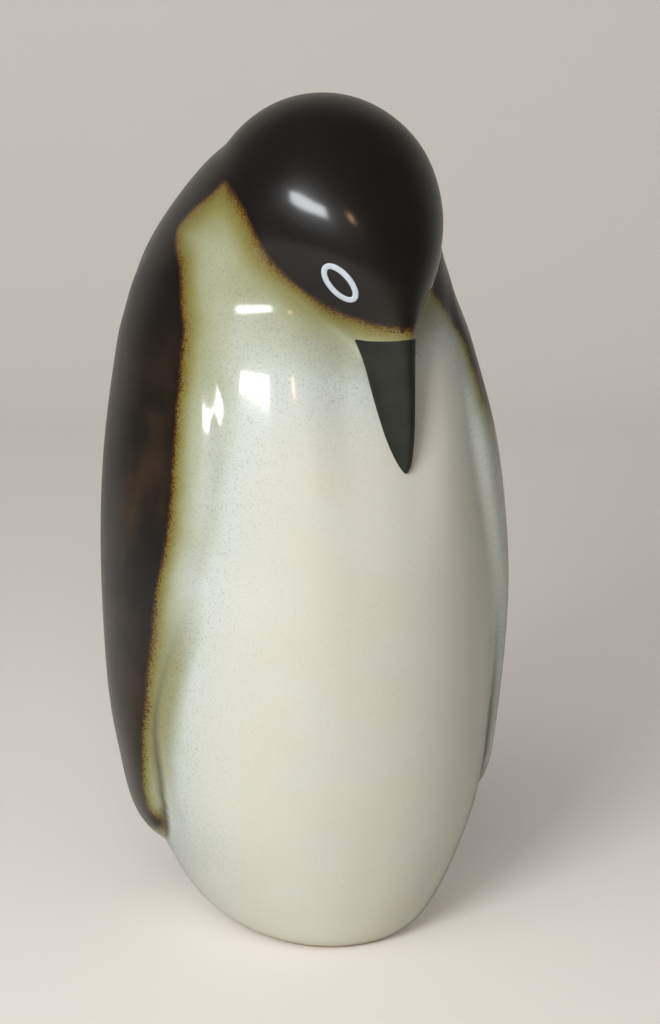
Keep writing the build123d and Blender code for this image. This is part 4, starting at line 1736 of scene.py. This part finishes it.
@dataclass(frozen=True)
class Studio:
    """The camera, the lamps, the pale floor and wall and the room, in metres and degrees."""

    azimuth: float = -20.0
    elevation: float = 14.0
    distance: float = 1.3
    target_height: float = 0.2
    # The lens and the figurine's place in the photograph's frame, in its pixels
    focal_pixels: float = 2665.0
    frame_width: float = 660.0
    frame_height: float = 1024.0
    target_column: float = 303.0
    target_line: float = 506.4
    floor_colour: Colour = shade(232, 227, 219)
    floor_roughness: float = 0.75
    floor_front: float = -2.5
    floor_back: float = 1.1
    floor_reach: float = 3.5
    sweep_radius: float = 0.5
    sweep_steps: int = 12
    wall_height: float = 3.0
    # How much paler the floor and the room are for the camera alone
    floor_paleness: float = 0.2
    room_paleness: float = 0.45
    room_colour: Colour = (0.98, 0.99, 1.0, 1.0)
    room_light: float = 0.13
    lamps: tuple[Lamp, ...] = (
        Lamp("window", (-1.10, -1.03, 0.91), (0, 0, 0.27), (0.60, 0.24), 15.5, (0.94, 0.97, 1.0)),
        Lamp(
            "ceiling", (-0.9, -0.8, 1.8), (0, 0, 0.1), (1.6, 1.6), 14.3, (1.0, 0.985, 0.965),
            False),
        Lamp("warm_lamp", (-0.5, -1.7, 1.12), (0, 0, 0.3), (0.14, 0.2), 1.6, (1.0, 0.62, 0.34)))

    def camera(self) -> None:
        """Put the camera where the photograph was taken from."""
        turn, rise = math.radians(self.azimuth), math.radians(self.elevation)
        away = Vector(
            (math.sin(turn) * math.cos(rise), -math.cos(turn) * math.cos(rise), math.sin(rise)))
        ahead = -away
        right = ahead.cross(Vector((0, 0, 1))).normalized()
        up = right.cross(ahead)
        across = (self.target_column - self.frame_width / 2) / self.focal_pixels
        below = (self.target_line - self.frame_height / 2) / self.focal_pixels
        yaw = math.atan(across)
        ahead = ahead * math.cos(yaw) - right * math.sin(yaw)
        tilt = math.atan(below * math.cos(yaw))
        ahead = ahead * math.cos(tilt) + up * math.sin(tilt)
        lens = bpy.data.cameras.new("studio_camera")
        lens.lens = self.focal_pixels / self.frame_height * lens.sensor_width
        lens.clip_start = 0.05
        lens.clip_end = 30.0
        camera = bpy.data.objects.new("studio_camera", lens)
        camera.location = Vector((0, 0, self.target_height)) + away * self.distance
        camera.rotation_mode = "QUATERNION"
        camera.rotation_quaternion = ahead.to_track_quat("-Z", "Y")
        bpy.context.scene.collection.objects.link(camera)
        bpy.context.scene.camera = camera

    def paper(self) -> bpy.types.Material:
        """Pale paper that is clear from behind, so that the wall hides the figurine in no view."""
        material, bench, shader = new_material("studio_paper")
        shader.inputs["Base Color"].default_value = self.floor_colour
        shader.inputs["Roughness"].default_value = self.floor_roughness
        shader.inputs["Emission Color"].default_value = self.floor_colour
        seen = bench.add("ShaderNodeLightPath").outputs["Is Camera Ray"]
        bench.link(bench.product(seen, self.floor_paleness), shader.inputs["Emission Strength"])
        behind = bench.add("ShaderNodeNewGeometry").outputs["Backfacing"]
        clear = bench.add("ShaderNodeBsdfTransparent").outputs[0]
        mixed = bench.add(
            "ShaderNodeMixShader", {0: behind, 1: shader.outputs[0], 2: clear}).outputs[0]
        bench.link(mixed, bench.tree.nodes["Material Output"].inputs["Surface"])
        return material

    def floor(self) -> None:
        """Make the floor, which sweeps up into a wall across the camera's line."""
        line = [(self.floor_front, 0.0)]
        for step in range(self.sweep_steps + 1):
            angle = math.pi / 2 * step / self.sweep_steps
            line.append((
                self.floor_back + self.sweep_radius * math.sin(angle),
                self.sweep_radius * (1 - math.cos(angle))))
        line.append((self.floor_back + self.sweep_radius, self.wall_height))
        turn = math.radians(self.azimuth)
        points = [
            (side * math.cos(turn) - along * math.sin(turn),
             side * math.sin(turn) + along * math.cos(turn), height)
            for along, height in line for side in (-self.floor_reach, self.floor_reach)]
        faces = [(row * 2, row * 2 + 1, row * 2 + 3, row * 2 + 2) for row in range(len(line) - 1)]
        floor = mesh_object("studio_floor", np.array(points), faces)
        coat(floor, self.paper())

    def room(self) -> None:
        """Make the even light of the room."""
        world = bpy.data.worlds.new("studio_room")
        world.use_nodes = True
        bench, light = NodeBench(world.node_tree), world.node_tree.nodes["Background"]
        light.inputs["Color"].default_value = self.room_colour
        seen = bench.add("ShaderNodeLightPath").outputs["Is Camera Ray"]
        strength = bench.sum("MULTIPLY_ADD", seen, self.room_paleness, self.room_light)
        bench.link(strength, light.inputs["Strength"])
        bpy.context.scene.world = world

    def build(self) -> None:
        """Set the whole studio up."""
        self.camera()
        self.floor()
        self.room()
        for lamp in self.lamps:
            lamp.build()
        bpy.context.scene.view_settings.view_transform = "Standard"


def dress(piece: bpy.types.Object, node: str, material: bpy.types.Material) -> None:
    """Give a piece its material and its place in the model.

    Args:
        piece: The finished piece.
        node: The CAD node that it stands for.
        material: Its finish.
    """
    coat(piece, material)
    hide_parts(node)
    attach(piece, "root")
    log.info("%s: %d faces, stands for %s", piece.name, len(piece.data.polygons), node)


def main() -> None:
    """Build the figurine and its studio, and log each piece's face count."""
    Studio().build()
    effects = Effects()
    # The node and the slot of each wall, and how rough each slot's clear coat is
    places = {
        Wall.BREAST: ("breast_shell", "breast_glaze"), Wall.BACK: ("back_shell", "back_glaze"),
        Wall.HEAD: ("head_shell", "head_glaze"),
        Wall.FLIPPER_LEFT: ("flipper_left", "flipper_glaze"),
        Wall.FLIPPER_RIGHT: ("flipper_right", "flipper_glaze")}
    coats = {"breast_glaze": 0.07, "back_glaze": 0.12, "head_glaze": 0.13, "flipper_glaze": 0.07}
    glazes = {
        slot: GlazeFinish(coat_roughness=rough).build(slot, effects)
        for slot, rough in coats.items()}
    matt = BillFinish().build("bill_glaze", effects)
    slip = SlipFinish().build("eye_slip", effects)
    clay = ClayFinish().build("bare_clay", effects)
    trunk, head, bill, rays = Trunk(), Head(), Bill(), RayFan()
    body = GlazedBody(trunk, Flipper(), head, bill, rays, DarkBorder())
    form = head.form(bill)
    skin, facts = body.skin(form, glazes["breast_glaze"])
    rings = {
        node: EyeRing().build(f"{node}_slip", side, head, skin, slip)
        for node, side in (("eye_ring_left", 1.0), ("eye_ring_right", -1.0))}
    for wall, piece in body.pieces(skin, facts).items():
        node, slot = places[wall]
        dress(piece, node, glazes[slot])
    dress(bill.build(head, trunk, rays), "bill", matt)
    for node, ring in rings.items():
        dress(ring, node, slip)
    coat(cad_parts["base_slab"], clay)
    log.info("base_slab: kept from the model, in bare clay")
    for spare in (form, skin):
        bpy.data.objects.remove(spare)


if __name__ == "__main__":
    main()
